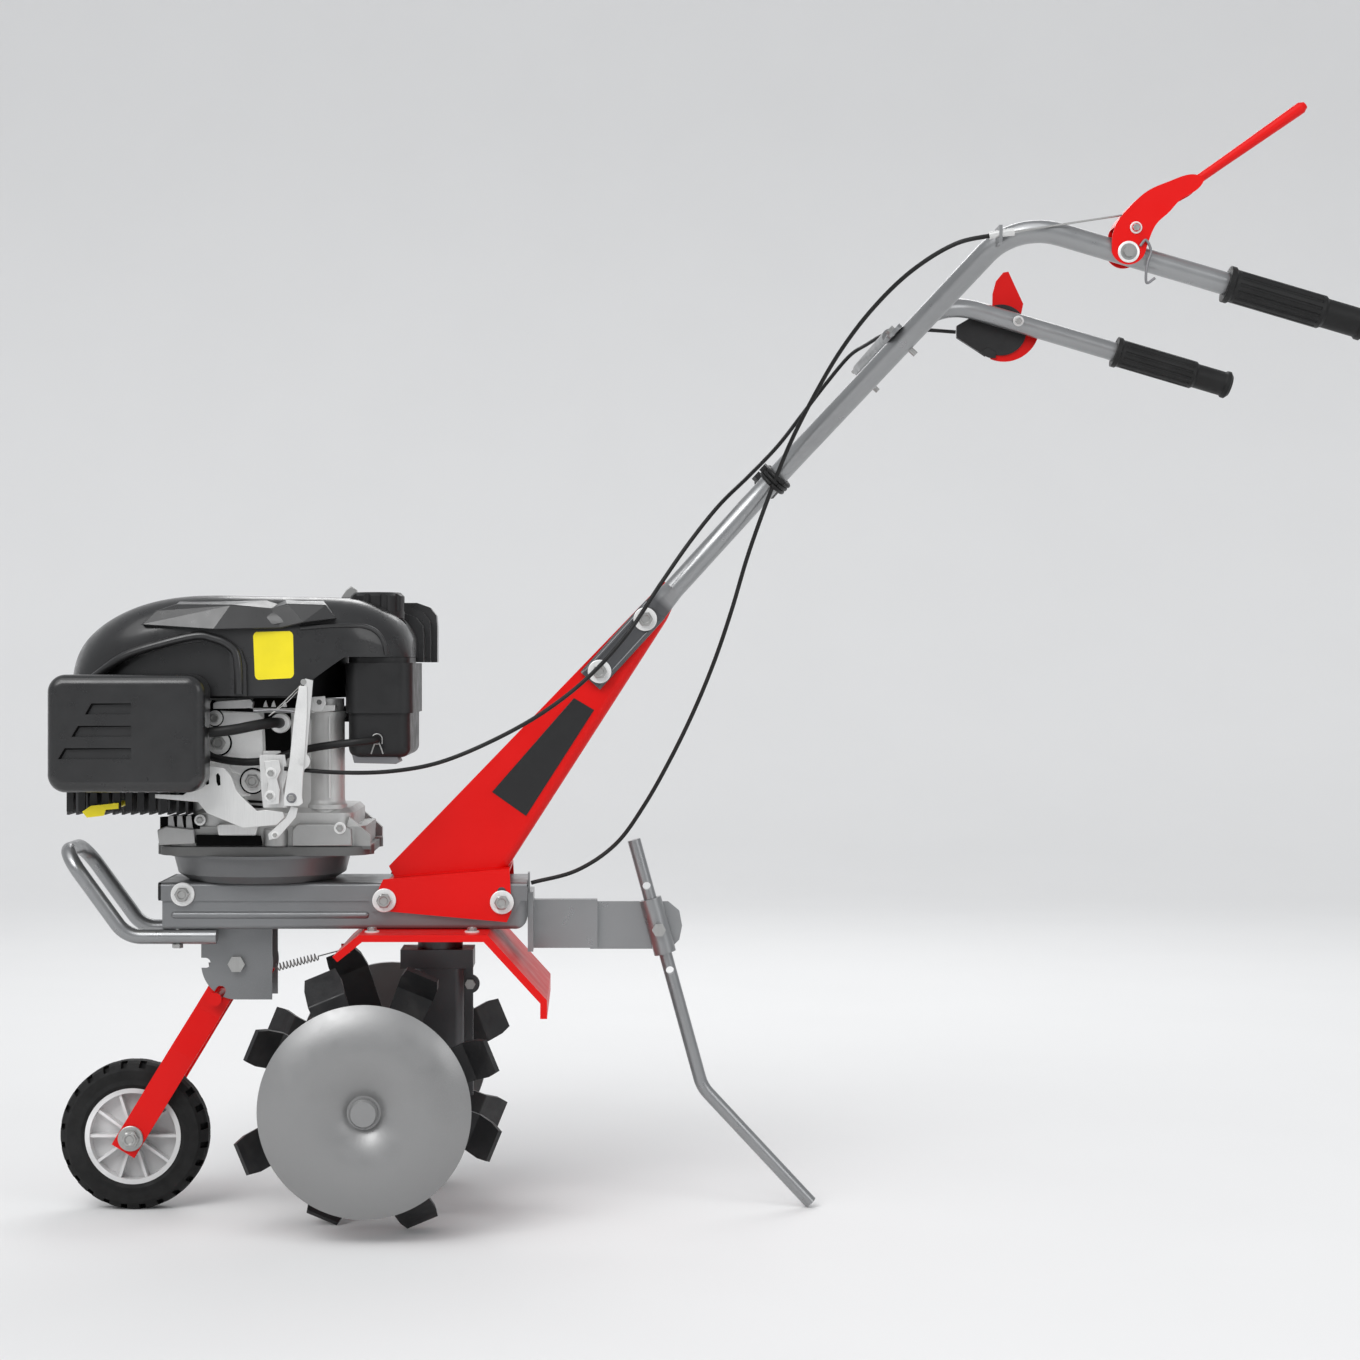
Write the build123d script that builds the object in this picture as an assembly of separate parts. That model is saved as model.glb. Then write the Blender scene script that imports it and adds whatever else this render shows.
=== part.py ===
from build123d import *
import math
import os

# Garden tiller with a vertical-shaft engine, as separate pieces in one frame.
# X runs to the rear, Y to the right hand of the person pushing, Z up from the ground.
# All sizes are in millimetres. The left side (-Y) is the side that the photograph shows.

os.makedirs("parts", exist_ok=True)

# General
SHEET = 2.5            # pressed steel sheet
SLIP = 0.2             # flat gap between pieces that are fastened or slide
RUN = 0.05             # radial gap of a running shaft
M8_R, M8_HOLE, M8_FLATS = 4.0, 4.3, 13.0
WASHER_R, WASHER_T, HEAD_T = 12.0, 1.6, 5.3
MIDDLE_X = 4.54        # middle of the footprint, which becomes the origin

# Tines and their axle
TINE_R = 138.0         # radius to the blade tips
BLADES = 4             # blades on one set; two sets on each side stand half a step apart
TIP_HALF = 17.0        # half width of a blade at its tip
STEP = 360.0 / BLADES / 4
AXLE_X = -315.0
AXLE_Z = TINE_R * math.cos(math.radians(STEP)) + TIP_HALF * math.sin(math.radians(STEP))
AXLE_R, HUB_R = 12.0, 17.0
BLADE_T, BLADE_HALF = 5.0, 20.0
BEND_R, BEND_DEG = 112.0, 50.0
INNER_Y, OUTER_Y = 62.0, 132.0
HUB_START, HUB_SPLIT, HUB_END = 30.0, 95.0, 185.0
DISC_R, DISC_T, CAP_HUB_R = 107.0, 2.0, 14.5

# Worm drive
TEETH, MODULE = 24, 4.0
WHEEL_PITCH_R = TEETH * MODULE / 2
WORM_PITCH_R = 17.0
WORM_X = AXLE_X + WHEEL_PITCH_R + WORM_PITCH_R
LEAD = math.pi * MODULE
LEAD_DEG = math.degrees(math.atan(LEAD / (2 * math.pi * WORM_PITCH_R)))
BACKLASH = 1.1
ADDENDUM, DEDENDUM = 3.4, 4.8
FACE = 10.0            # width of the worm wheel
SHAFT_R = 10.0
SHAFT_BOTTOM, SHAFT_TOP = 86.0, 341.0

# Gear case
CASE_COLUMN = 26.0     # half width of the column round the worm, both ways
CASE_BOTTOM, CASE_TOP = 80.0, 258.0
CASE_WHEEL_R, CASE_WHEEL_HALF = 60.0, 20.0
CAVITY_R, CAVITY_HALF = 54.5, 11.0
RIM_REACH, RIM_T = 9.0, 3.0
NECK_R, NECK_TOP, EAR_TOP = 24.0, 303.0, 278.0

# Frame
FRAME_FRONT, FRAME_REAR = -539.0, -156.0
FRAME_TOP, FRAME_BOTTOM = 352.0, 303.0
FRAME_HALF = 60.0
CHANNEL_EDGE, EAR_EDGE = 333.0, 322.0
TRAY_HALF = FRAME_HALF - SHEET - SLIP
TRAY_TOP = 346.0
FRONT_BOLT = (FRAME_FRONT + 23.0, 340.0)
BUMPER_BOLT_X = FRAME_FRONT + 16.0
TILT_PIVOT = (-305.0, 334.0)
SLOT_BOLT = (-182.0, 332.0)

# Bumper, wheel bracket, fork and wheel
BUMPER_R, BUMPER_HALF = 8.0, 50.0
BUMPER_Z = FRAME_BOTTOM - BUMPER_R
WHEEL_R, HUB_RIM_R, TYRE_HALF = 79.0, 51.0, 20.0
WHEEL_X, WHEEL_Z = -576.0, WHEEL_R
PIVOT_X, PIVOT_Z = -464.0, 263.4
BRACKET_HALF, BRACKET_T = 26.0, 3.0
BRACKET_TOP = 302.8
FORK_T, FORK_HALF_W = 4.0, 14.0
FORK_TOP_Y = BRACKET_HALF - BRACKET_T - 0.5
FORK_LOW_Y = 30.0
LATCH_ARC = 38.0       # bracket edge that the latch pin runs along
PIN_R, PIN_TRAVEL = 5.0, 10.0
PIN_REST = LATCH_ARC + PIN_R + 0.6
PIN_LOCKED = PIN_REST - PIN_TRAVEL
FORK_SWING = 60.0
AXLE_BOLT_R = 6.0
PIVOT_BOLT_R = 5.0
FORK_TAIL = (-8.0, 0.0, 31.0)   # hole for the spring, from the pivot along and across the fork
FORK_LEN = math.hypot(WHEEL_X - PIVOT_X, WHEEL_Z - PIVOT_Z)
FORK_DEG = math.degrees(math.atan2(WHEEL_Z - PIVOT_Z, WHEEL_X - PIVOT_X))

# Fender and drag stake
FENDER_T, FENDER_HALF, FENDER_LIP = 2.0, 115.0, 7.0
FENDER_TOP = FRAME_BOTTOM - SLIP
STAKE_R, SLEEVE_R = 7.0, 11.5
STAKE_TOP, STAKE_BEND, STAKE_FOOT_X = (-43.0, 393.0), (30.0, 129.0), 146.0
STAKE_HOLES_Z = (344.0, 254.0)
STAKE_BOLT_Z = 298.0

# Belt drive in the frame
CRANK_X, CRANK_R = -440.0, 11.0
PULLEY_Z0, PULLEY_Z1 = 319.0, 337.0
DRIVE_R, DRIVEN_R = 33.0, 49.0
BELT_W, BELT_H, BELT_LOW = 6.5, 8.0, 1.0
IDLER_PIVOT, IDLER_ROLLER = (-365.0, -10.0), (-334.0, 8.0)
IDLER_R, IDLER_PIN_R = 12.0, 5.0

# Engine
PAN_R, PAN_FOOT_R = 100.0, 77.0
PAN_TOP = 382.0
BASE_Z0, BASE_Z1, BLOCK_TOP = PAN_TOP + SLIP, 412.0, 545.0
SHROUD_TOP, SHROUD_MID, SHROUD_ROUND = 652.0, 500.0, 40.0
SHROUD_STATIONS = ((-632, 584, 62), (-618, 606, 84), (-588, 628, 104), (-540, 646, 117),
                   (-480, SHROUD_TOP, 120), (-360, SHROUD_TOP - 2, 120), (-300, 637, 98),
                   (-276, 608, 78))   # X, top, half width
RECESS, RIB, SCOOP = 9.0, 5.0, 6.0
PLATE_Y = -121.0       # control plate
GOVERNOR = (-384.0, 482.0)
CHOKE = (-575.0, 436.0)
TANK_NECK = (-314.0, -40.0)
CAP_R, CAP_Z0, CAP_Z1 = 28.5, 628.0, 656.0

# Column and handles
BASE_SLOPE = 4.76      # rest slope of the column foot, taken up when the handle is lowered
FOOT_T = 3.0
PLATE_IN = FRAME_HALF + SLIP * 2
PLATE_OUT = PLATE_IN + FOOT_T
COLUMN_HALF = 40.0
COLUMN_BEND = 10.0
TUBE_R, TUBE_WALL = 11.0, 1.8
TUBE_IN_Y = COLUMN_HALF + 0.3
TUBE_Y = TUBE_IN_Y + TUBE_R
HANDLE_Y = 260.0
GRIP_DEG = 16.5
TUBE_FOOT, TUBE_KINK, GRIP_END = (-90.0, 563.0), (104.0, 776.0), (660.0, 908.0)
TUBE_CREST = (322.0, 1008.2)
KINK_BEND, CREST_BEND = 150.0, 66.0
STRAP_W, STRAP_T, STRAP_LEN, STRAP_BLEND = 28.0, 6.0, 100.0, 130.0
TUBE_BOLTS = ((-32.0, 628.0), (-80.0, 573.0))
BRACE_SHARE, BRACE_R, BRACE_FLAT = 0.55, 8.0, 4.0
GRIP_X0 = 525.0
GRIP_BORE = TUBE_R + 0.15
LEVER_X = 428.0
LEVER_BOLT_R = 3.0
LEVER_IN, LEVER_OUT = TUBE_R + 0.6, TUBE_R + 2.6
WIRE_PIN = (441.0, 1016.0)
WIRE_Y, WIRE_END_Y, WIRE_R = -275.0, -266.0, 1.0
WIRE_STOP = (306.0, 994.0)
CABLE_R = 2.2
THROTTLE = (398.0, 980.0)
THROTTLE_SCREW_X = 410.0
THROTTLE_R, DISC_Y0, DISC_Y1 = 42.0, 273.3, 276.0
HOUSING_R, HOUSING_Y0, HOUSING_Y1 = 30.0, 271.2, 278.0


def block(x0, x1, y0, y1, z0, z1):
    """Box between two corners."""
    return Pos((x0 + x1) / 2, (y0 + y1) / 2, (z0 + z1) / 2) * Box(x1 - x0, y1 - y0, z1 - z0)


def side_plane(y, x=0.0, z=0.0):
    """Plane of the side view, facing the left side."""
    return Plane(origin=(x, y, z), x_dir=(1, 0, 0), z_dir=(0, -1, 0))


def side_prism(points, y0, y1):
    """Side outline (X, Z) given thickness from y0 to y1."""
    return extrude(side_plane(y1) * Polygon(*points, align=None), y1 - y0, dir=(0, -1, 0))


def pin_y(x, z, y0, y1, r):
    """Round pin across the machine."""
    return Pos(x, (y0 + y1) / 2, z) * Rot(90, 0, 0) * Cylinder(r, y1 - y0)


def pin_z(x, y, z0, z1, r):
    """Upright round pin."""
    return Pos(x, y, (z0 + z1) / 2) * Cylinder(r, z1 - z0)


def hex_y(x, z, y0, y1, flats):
    """Hexagon across the machine."""
    face = side_plane(y1, x, z) * RegularPolygon(flats / 2, 6, major_radius=False)
    return extrude(face, y1 - y0, dir=(0, -1, 0))


def hex_z(x, y, z0, z1, flats):
    """Upright hexagon."""
    face = Plane(origin=(x, y, z0)) * RegularPolygon(flats / 2, 6, major_radius=False)
    return extrude(face, z1 - z0, dir=(0, 0, 1))


def both_sides(piece):
    """A left piece with its mirror image."""
    return piece + mirror(piece, Plane.XZ)


def side_bolt(x, z, seat, grip, washer_r=WASHER_R):
    """Left bolt: washer on the face at y = -seat, shank inwards through grip, then its nut."""
    washer = pin_y(x, z, -seat - WASHER_T, -seat, washer_r)
    head = hex_y(x, z, -seat - WASHER_T - HEAD_T, -seat - WASHER_T, M8_FLATS)
    shank = pin_y(x, z, -seat - WASHER_T, -seat + grip + 1, M8_R)
    nut = hex_y(x, z, -seat + grip, -seat + grip + 6.5, M8_FLATS)
    return washer + head + shank + nut


def route(points, share=0.45):
    """Path of straight runs joined by large tangent arcs, as large as the runs allow."""
    spots = [Vector(*p) for p in points]
    radii = []
    for a, b, c in zip(spots, spots[1:], spots[2:]):
        turn = math.radians((b - a).get_angle(c - b))
        run = min((b - a).length, (c - b).length)
        radii.append(share * run / math.tan(turn / 2))
    return FilletPolyline(*spots, radius=radii), radii


def hose(name, points, r):
    """Round hose or cable along its route, with its bend radii and volume printed."""
    path, radii = route(points)
    edge = path.edges()[0]
    start = Plane(origin=edge @ 0, z_dir=edge % 0)
    body = sweep(start * Circle(r), path=path)
    share = body.volume / (math.pi * r * r * path.length)
    print(name, "least bend radius", round(min(radii), 1), "volume against length", round(share, 4))
    return body


def revolved(points):
    """Solid turned about Z from an outline of (radius, height)."""
    return revolve(Plane.XZ * Polygon(*points, align=None), Axis.Z)


def turned_y(points, x, z, y0=0.0, side=1):
    """Solid turned about a cross axis from (radius, y) points; side -1 makes the left one."""
    body = Pos(x, y0, z) * Rot(-90, 0, 0) * revolved(points)
    return body if side > 0 else mirror(body, Plane.XZ)


def column_line(x):
    """Height of the column foot's upper face."""
    return 355.8 + (x + 306.0) * math.tan(math.radians(BASE_SLOPE))


def stake_point(z):
    """Point of the stake's upper part at a height."""
    share = (STAKE_TOP[1] - z) / (STAKE_TOP[1] - STAKE_BEND[1])
    return STAKE_TOP[0] + share * (STAKE_BEND[0] - STAKE_TOP[0])


def grip_z(x):
    """Height of the handle tube's axis behind its crest."""
    return GRIP_END[1] + (GRIP_END[0] - x) * math.tan(math.radians(GRIP_DEG))


parts = {}

# Frame: an upper channel over a lower tray

upper = block(FRAME_FRONT, FRAME_REAR, -FRAME_HALF, FRAME_HALF, CHANNEL_EDGE, FRAME_TOP)
upper = fillet(upper.edges().filter_by(Axis.X).group_by(Axis.Z)[-1], 4)
ear = [(-324, CHANNEL_EDGE + 5), (-318, EAR_EDGE), (-168, EAR_EDGE), (-160, CHANNEL_EDGE + 5)]
upper += both_sides(side_prism(ear, -FRAME_HALF, -FRAME_HALF + SHEET))
channel_in = FRAME_HALF - SHEET
upper -= block(FRAME_FRONT - 1, FRAME_REAR + 1, -channel_in, channel_in, EAR_EDGE - 1, FRAME_TOP - SHEET)
upper -= pin_z(CRANK_X, 0, FRAME_TOP - 9, FRAME_TOP + 9, 40)
tray = block(FRAME_FRONT + 1, FRAME_REAR, -TRAY_HALF, TRAY_HALF, FRAME_BOTTOM, TRAY_TOP)
tray = fillet(tray.edges().filter_by(Axis.X).group_by(Axis.Z)[0], 5)
tray = fillet(tray.edges().filter_by(Axis.Z).group_by(Axis.X)[-1], 12)
tray_in = TRAY_HALF - SHEET
tray_floor = FRAME_BOTTOM + SHEET
hollow = block(FRAME_FRONT + 1 + SHEET, FRAME_REAR - SHEET, -tray_in, tray_in, tray_floor, TRAY_TOP + 9)
hollow = fillet(hollow.edges().filter_by(Axis.Z).group_by(Axis.X)[-1], 12 - SHEET)
tray -= hollow
tray -= block(FRAME_FRONT - 9, FRAME_FRONT + 9, -tray_in, tray_in, CHANNEL_EDGE, TRAY_TOP + 9)
bead = Pos(-425, -TRAY_HALF + 1.5, 318) * Rot(0, 90, 0) * Cylinder(4, 200)
bead += Pos(-525, -TRAY_HALF + 1.5, 318) * Sphere(4)
bead += Pos(-325, -TRAY_HALF + 1.5, 318) * Sphere(4)
tray += both_sides(bead)
tray -= pin_z(WORM_X, 0, FRAME_BOTTOM - 9, FRAME_BOTTOM + 9, SHAFT_R + 4)
for x, z in (FRONT_BOLT, TILT_PIVOT, SLOT_BOLT):
    hole = pin_y(x, z, -FRAME_HALF - 9, FRAME_HALF + 9, M8_HOLE)
    upper -= hole
    tray -= hole
idler_pin = pin_z(*IDLER_PIVOT, FRAME_BOTTOM + SHEET, FRAME_BOTTOM + 40, IDLER_PIN_R)
tray += idler_pin
for side in (-1, 1):
    tray -= pin_z(BUMPER_BOLT_X, side * BUMPER_HALF, FRAME_BOTTOM - 9, FRAME_BOTTOM + 9, 3.3)
parts["frame_upper"] = upper
parts["frame_lower"] = tray
cap = block(FRAME_FRONT - 3, FRAME_FRONT - SLIP, -FRAME_HALF, FRAME_HALF, CHANNEL_EDGE, FRAME_TOP)
cap = fillet(cap.edges().filter_by(Axis.X), 4)
cap_in = tray_in - 0.4
cap += block(FRAME_FRONT - 1, FRAME_FRONT + 9, -cap_in, cap_in, CHANNEL_EDGE + 1, FRAME_TOP - SHEET - 0.4)
parts["frame_end_cap"] = cap

# Front bumper: one bent tube under the frame

bumper_line = [(FRAME_FRONT + 57, BUMPER_Z - SLIP), (FRAME_FRONT - 38, BUMPER_Z - SLIP),
               (FRAME_FRONT - 103, 384)]
bumper_points = [(x, -BUMPER_HALF, z) for x, z in bumper_line]
bumper_points += [(x, BUMPER_HALF, z) for x, z in reversed(bumper_line)]
bumper_path = FilletPolyline(*bumper_points, radius=[32, 28, 28, 32])
bumper_start = Plane(origin=bumper_points[0], z_dir=(-1, 0, 0))
bumper = sweep(bumper_start * Circle(BUMPER_R), path=bumper_path)
for side in (-1, 1):
    bumper -= pin_z(BUMPER_BOLT_X, side * BUMPER_HALF, BUMPER_Z - 20, BUMPER_Z + 20, 3.3)
parts["front_bumper"] = bumper

# Wheel bracket: two notched plates under a bridge, and the fork that swings in it

fork_plane = Plane(origin=(PIVOT_X, 0, PIVOT_Z), x_dir=(math.cos(math.radians(FORK_DEG)), 0,
                   math.sin(math.radians(FORK_DEG))), z_dir=(0, -1, 0))
bracket_x0, bracket_x1 = PIVOT_X - LATCH_ARC, PIVOT_X + 37
outline = [(bracket_x0, BRACKET_TOP), (bracket_x0, PIVOT_Z), (PIVOT_X, PIVOT_Z),
           (PIVOT_X, PIVOT_Z - LATCH_ARC), (bracket_x1, PIVOT_Z - LATCH_ARC), (bracket_x1, BRACKET_TOP)]
plate = side_prism(outline, -BRACKET_HALF, -BRACKET_HALF + BRACKET_T)
plate += pin_y(PIVOT_X, PIVOT_Z, -BRACKET_HALF, -BRACKET_HALF + BRACKET_T, LATCH_ARC)
for turn in (0.0, FORK_SWING):
    notch = Pos(PIN_LOCKED + 15, 0, 0) * Box(30, 2 * PIN_R + 0.8, 20)
    notch += Pos(PIN_LOCKED, 0, 0) * Cylinder(PIN_R + 0.4, 20)
    spin = Rot(0, turn, 0)
    at_fork = Plane(origin=(0, -BRACKET_HALF, 0), x_dir=fork_plane.x_dir, z_dir=(0, -1, 0))
    plate -= Pos(PIVOT_X, 0, PIVOT_Z) * spin * at_fork.location * notch
plate -= pin_y(PIVOT_X, PIVOT_Z, -BRACKET_HALF - 9, 0, PIVOT_BOLT_R + 0.3)
bracket = both_sides(plate)
bracket += block(bracket_x0, bracket_x1, -BRACKET_HALF, BRACKET_HALF, BRACKET_TOP - BRACKET_T, BRACKET_TOP)
parts["wheel_bracket"] = bracket


def fork_strip():
    """Left strip, along +X from the pivot before it is turned into place, with its outward joggle."""
    top, low = -FORK_TOP_Y + FORK_T, -FORK_LOW_Y + FORK_T
    end = FORK_LEN + 16
    shape = [(-16, top), (62, top), (112, low), (end, low),
             (end, low - FORK_T), (111, low - FORK_T), (61, top - FORK_T), (-16, top - FORK_T)]
    strip = extrude(Plane.XY * Polygon(*shape, align=None), FORK_HALF_W, both=True)
    return fillet(strip.edges().filter_by(Axis.Y).group_by(Axis.X)[0], 12)


strip_l = fork_strip()
fork = strip_l + mirror(strip_l, Plane.XZ)
sleeve_half = FORK_TOP_Y - FORK_T + 1
fork += Rot(90, 0, 0) * Cylinder(PIVOT_BOLT_R + 4, 2 * sleeve_half)
fork += Pos(PIN_REST + PIN_R + 6, 0, 0) * Box(4, 2 * sleeve_half, 2 * FORK_HALF_W - 4)
fork -= Rot(90, 0, 0) * Cylinder(PIVOT_BOLT_R + RUN, 2 * FORK_LOW_Y)
fork -= Pos(FORK_LEN, 0, 0) * Rot(90, 0, 0) * Cylinder(AXLE_BOLT_R + SLIP, 3 * FORK_LOW_Y)
slot = Pos(PIN_REST - PIN_TRAVEL / 2, 0, 0) * Box(PIN_TRAVEL, 90, 2 * PIN_R + 0.8)
for end in (PIN_REST, PIN_REST - PIN_TRAVEL):
    slot += Pos(end, 0, 0) * Rot(90, 0, 0) * Cylinder(PIN_R + 0.4, 90)
fork -= slot
tail = Pos(-8, 0, 20) * Box(8, 5, 32)
tail -= Pos(*FORK_TAIL) * Rot(90, 0, 0) * Cylinder(1.6, 20)
fork += tail
to_fork = Pos(PIVOT_X, 0, PIVOT_Z) * Rot(0, -FORK_DEG, 0)
parts["wheel_fork"] = to_fork * fork
pin_half = BRACKET_HALF + 4
latch = Pos(PIN_REST, 0, 0) * Rot(90, 0, 0) * Cylinder(PIN_R, 2 * pin_half)
for side in (-1, 1):
    latch += Pos(PIN_REST, side * (pin_half + 1), 0) * Rot(90, 0, 0) * Cylinder(PIN_R + 2, 2)
parts["latch_pin"] = to_fork * latch

# Front wheel: solid tyre on a ribbed hub

HUB_WEB, BOSS_R, BOSS_HALF = 3.0, 13.0, 22.0
rim = revolved([(HUB_RIM_R - 5, -TYRE_HALF + 2), (HUB_RIM_R, -TYRE_HALF + 2),
                (HUB_RIM_R, TYRE_HALF - 2), (HUB_RIM_R - 5, TYRE_HALF - 2)])
hub = rim + Cylinder(HUB_RIM_R - 2, 2 * HUB_WEB) + Cylinder(BOSS_R, 2 * BOSS_HALF)
for k in range(10):
    reach = HUB_RIM_R - 3 - BOSS_R
    hub += Rot(0, 0, 36 * k) * Pos(BOSS_R - 1 + reach / 2, 0, 0) * Box(reach, 3, 2 * TYRE_HALF - 8)
hub -= Cylinder(AXLE_BOLT_R + RUN, 99)
to_wheel = Pos(WHEEL_X, 0, WHEEL_Z) * Rot(90, 0, 0)
parts["wheel_hub"] = to_wheel * hub
half = [(HUB_RIM_R, -TYRE_HALF + 2), (HUB_RIM_R + 4, -TYRE_HALF), (HUB_RIM_R + 9, -TYRE_HALF + 1),
        (WHEEL_R - 9, -TYRE_HALF + 1), (WHEEL_R - 2, -TYRE_HALF + 6), (WHEEL_R, -TYRE_HALF + 12)]
tyre = revolved(half + [(r, -h) for r, h in reversed(half)])
for k in range(24):
    for side in (-1, 1):
        lug = Pos(WHEEL_R - 1, 0, side * (TYRE_HALF - 1)) * Rot(0, side * 45, 0) * Box(12, 7, 40)
        tyre -= Rot(0, 0, 15 * (k + (side + 1) / 4)) * Pos(8.0, 0, side * 3) * lug
parts["tyre"] = to_wheel * tyre
axle_seat = FORK_LOW_Y + SLIP
wheel_axle = pin_y(WHEEL_X, WHEEL_Z, -axle_seat - 8, axle_seat + 10, AXLE_BOLT_R)
wheel_axle += pin_y(WHEEL_X, WHEEL_Z, -axle_seat - 1.5, -axle_seat, 13)
wheel_axle += hex_y(WHEEL_X, WHEEL_Z, -axle_seat - 8, -axle_seat - 1.5, 17)
wheel_axle += hex_y(WHEEL_X, WHEEL_Z, axle_seat, axle_seat + 9, 17)
parts["wheel_axle"] = wheel_axle

# Fender: one bent sheet with side lips, round the gear neck

profile = [(-354, FENDER_TOP - 22), (-327, FENDER_TOP), (-195, FENDER_TOP), (-134, 236), (-134, 217)]
under = [(-134 - FENDER_T, 217), (-134 - FENDER_T, 235.2), (-195.9, FENDER_TOP - FENDER_T),
         (-326.2, FENDER_TOP - FENDER_T), (-352.7, FENDER_TOP - 22 - FENDER_T * 0.8)]
fender = side_prism(profile + under, -FENDER_HALF, FENDER_HALF)
lip_in = [(-134 - FENDER_LIP, 217), (-134 - FENDER_LIP, 232.8), (-199, FENDER_TOP - FENDER_LIP),
          (-323.5, FENDER_TOP - FENDER_LIP), (-349, FENDER_TOP - 22 - FENDER_LIP * 0.8)]
fender += both_sides(side_prism(profile + lip_in, -FENDER_HALF, -FENDER_HALF + FENDER_T))
fender -= pin_z(WORM_X, 0, FENDER_TOP - 20, FENDER_TOP + 20, NECK_R + 1)
FENDER_BOLTS = ((-296.0, 40.0), (-204.0, 40.0))
for x, y in FENDER_BOLTS:
    for side in (-1, 1):
        hole = pin_z(x, side * y, FENDER_TOP - 20, FRAME_BOTTOM + 9, 3.3)
        fender -= hole
        parts["frame_lower"] -= hole
parts["fender"] = fender

# Hitch and drag stake

HITCH_Y0, HITCH_Y1 = SLEEVE_R, SLEEVE_R + 5
plate_pts = [(-90, 326), (-6, 326), (6, 316), (9, 300), (6, 285), (-4, 275), (-90, 275)]
hitch = side_prism(plate_pts, HITCH_Y0, HITCH_Y1)
hitch += block(FRAME_REAR + 5, -82, 2, HITCH_Y1, 277, 329)
hitch += block(FRAME_REAR + SLIP, FRAME_REAR + 6, -34, 34, 277, 340)
hitch += block(FRAME_REAR + SLIP, FRAME_REAR + 2.2, -28, -12, 336, 360)
hitch -= Pos(FRAME_REAR, -20, 348) * Rot(0, 90, 0) * Cylinder(2, 20)
up_x = stake_point(330)
low_x = stake_point(272)
stake_dir = (Vector(STAKE_BEND[0], 0, STAKE_BEND[1]) - Vector(STAKE_TOP[0], 0, STAKE_TOP[1])).normalized()
sleeve_plane = Plane(origin=(up_x, 0, 330), x_dir=(0, 1, 0), z_dir=stake_dir)
sleeve_len = (330 - 272) / -stake_dir.Z
hitch += extrude(sleeve_plane * Circle(SLEEVE_R + 0.4), sleeve_len)
hitch -= extrude(Plane(origin=sleeve_plane.origin - stake_dir * 20, x_dir=(0, 1, 0), z_dir=stake_dir)
                 * Circle(STAKE_R + 0.3), sleeve_len + 40)
bolt_x = stake_point(STAKE_BOLT_Z)
hitch -= pin_y(bolt_x, STAKE_BOLT_Z, -40, 40, M8_HOLE)
foot_dir = Vector(STAKE_FOOT_X - STAKE_BEND[0], 0, -STAKE_BEND[1]).normalized()
stake_points = [(STAKE_TOP[0], 0, STAKE_TOP[1]), (STAKE_BEND[0], 0, STAKE_BEND[1]),
                (STAKE_FOOT_X, 0, STAKE_R * foot_dir.X + 0.1)]
stake = sweep(Plane(origin=stake_points[0], x_dir=(0, 1, 0), z_dir=stake_dir) * Circle(STAKE_R),
              path=FilletPolyline(*stake_points, radius=40))
for z in (*STAKE_HOLES_Z, STAKE_BOLT_Z):
    stake -= pin_y(stake_point(z), z, -40, 40, M8_HOLE)
parts["hitch"] = hitch
parts["drag_stake"] = stake

# Gear case with the worm drive

neck = pin_z(WORM_X, 0, CASE_TOP + SLIP, NECK_TOP - SLIP, NECK_R)
neck += block(WORM_X - 41, WORM_X + 36, -CASE_COLUMN, CASE_COLUMN, CASE_TOP + SLIP, EAR_TOP)
neck -= pin_z(WORM_X, 0, CASE_TOP - 9, NECK_TOP + 9, SHAFT_R + RUN)
neck -= pin_z(WORM_X, 0, CASE_TOP - 9, CASE_TOP + 6, SHAFT_R + 4)
parts["gear_neck"] = neck
CASE_BOLTS = ((WORM_X + 32, 239.0), (WORM_X + 32, 156.0), (AXLE_X - 65, AXLE_Z + 10))
case = block(WORM_X - CASE_COLUMN, WORM_X + CASE_COLUMN, -CASE_COLUMN, -0.1, CASE_BOTTOM, CASE_TOP)
case = fillet(case.edges().filter_by(Axis.Z).group_by(Axis.Y)[0], 9)
case += pin_y(AXLE_X, AXLE_Z, -CASE_WHEEL_HALF, -0.1, CASE_WHEEL_R)
case += pin_y(AXLE_X, AXLE_Z, -HUB_START + 0.6, -0.1, 22)
edge = CASE_COLUMN + RIM_REACH
rim = block(WORM_X - CASE_COLUMN, WORM_X + edge, -RIM_T, -0.1, CASE_BOTTOM + 40, CASE_TOP)
rim += pin_y(AXLE_X, AXLE_Z, -RIM_T, -0.1, CASE_WHEEL_R + RIM_REACH)
for x, z in CASE_BOLTS:
    rim += pin_y(x, z, -RIM_T, -0.1, 10)
case += rim
case -= pin_z(WORM_X, 0, SHAFT_BOTTOM + 8, CASE_TOP - 6, WORM_PITCH_R + ADDENDUM + 2)
case -= pin_z(WORM_X, 0, SHAFT_BOTTOM - 1, CASE_TOP + 9, SHAFT_R + RUN)
case -= pin_y(AXLE_X, AXLE_Z, -CAVITY_HALF, 9, CAVITY_R)
case -= pin_y(AXLE_X, AXLE_Z, -99, 9, AXLE_R + RUN)
for x, z in CASE_BOLTS:
    case -= pin_y(x, z, -40, 9, 3.3)
parts["gear_case_left"] = case
parts["gear_case_right"] = mirror(case, Plane.XZ)

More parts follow.
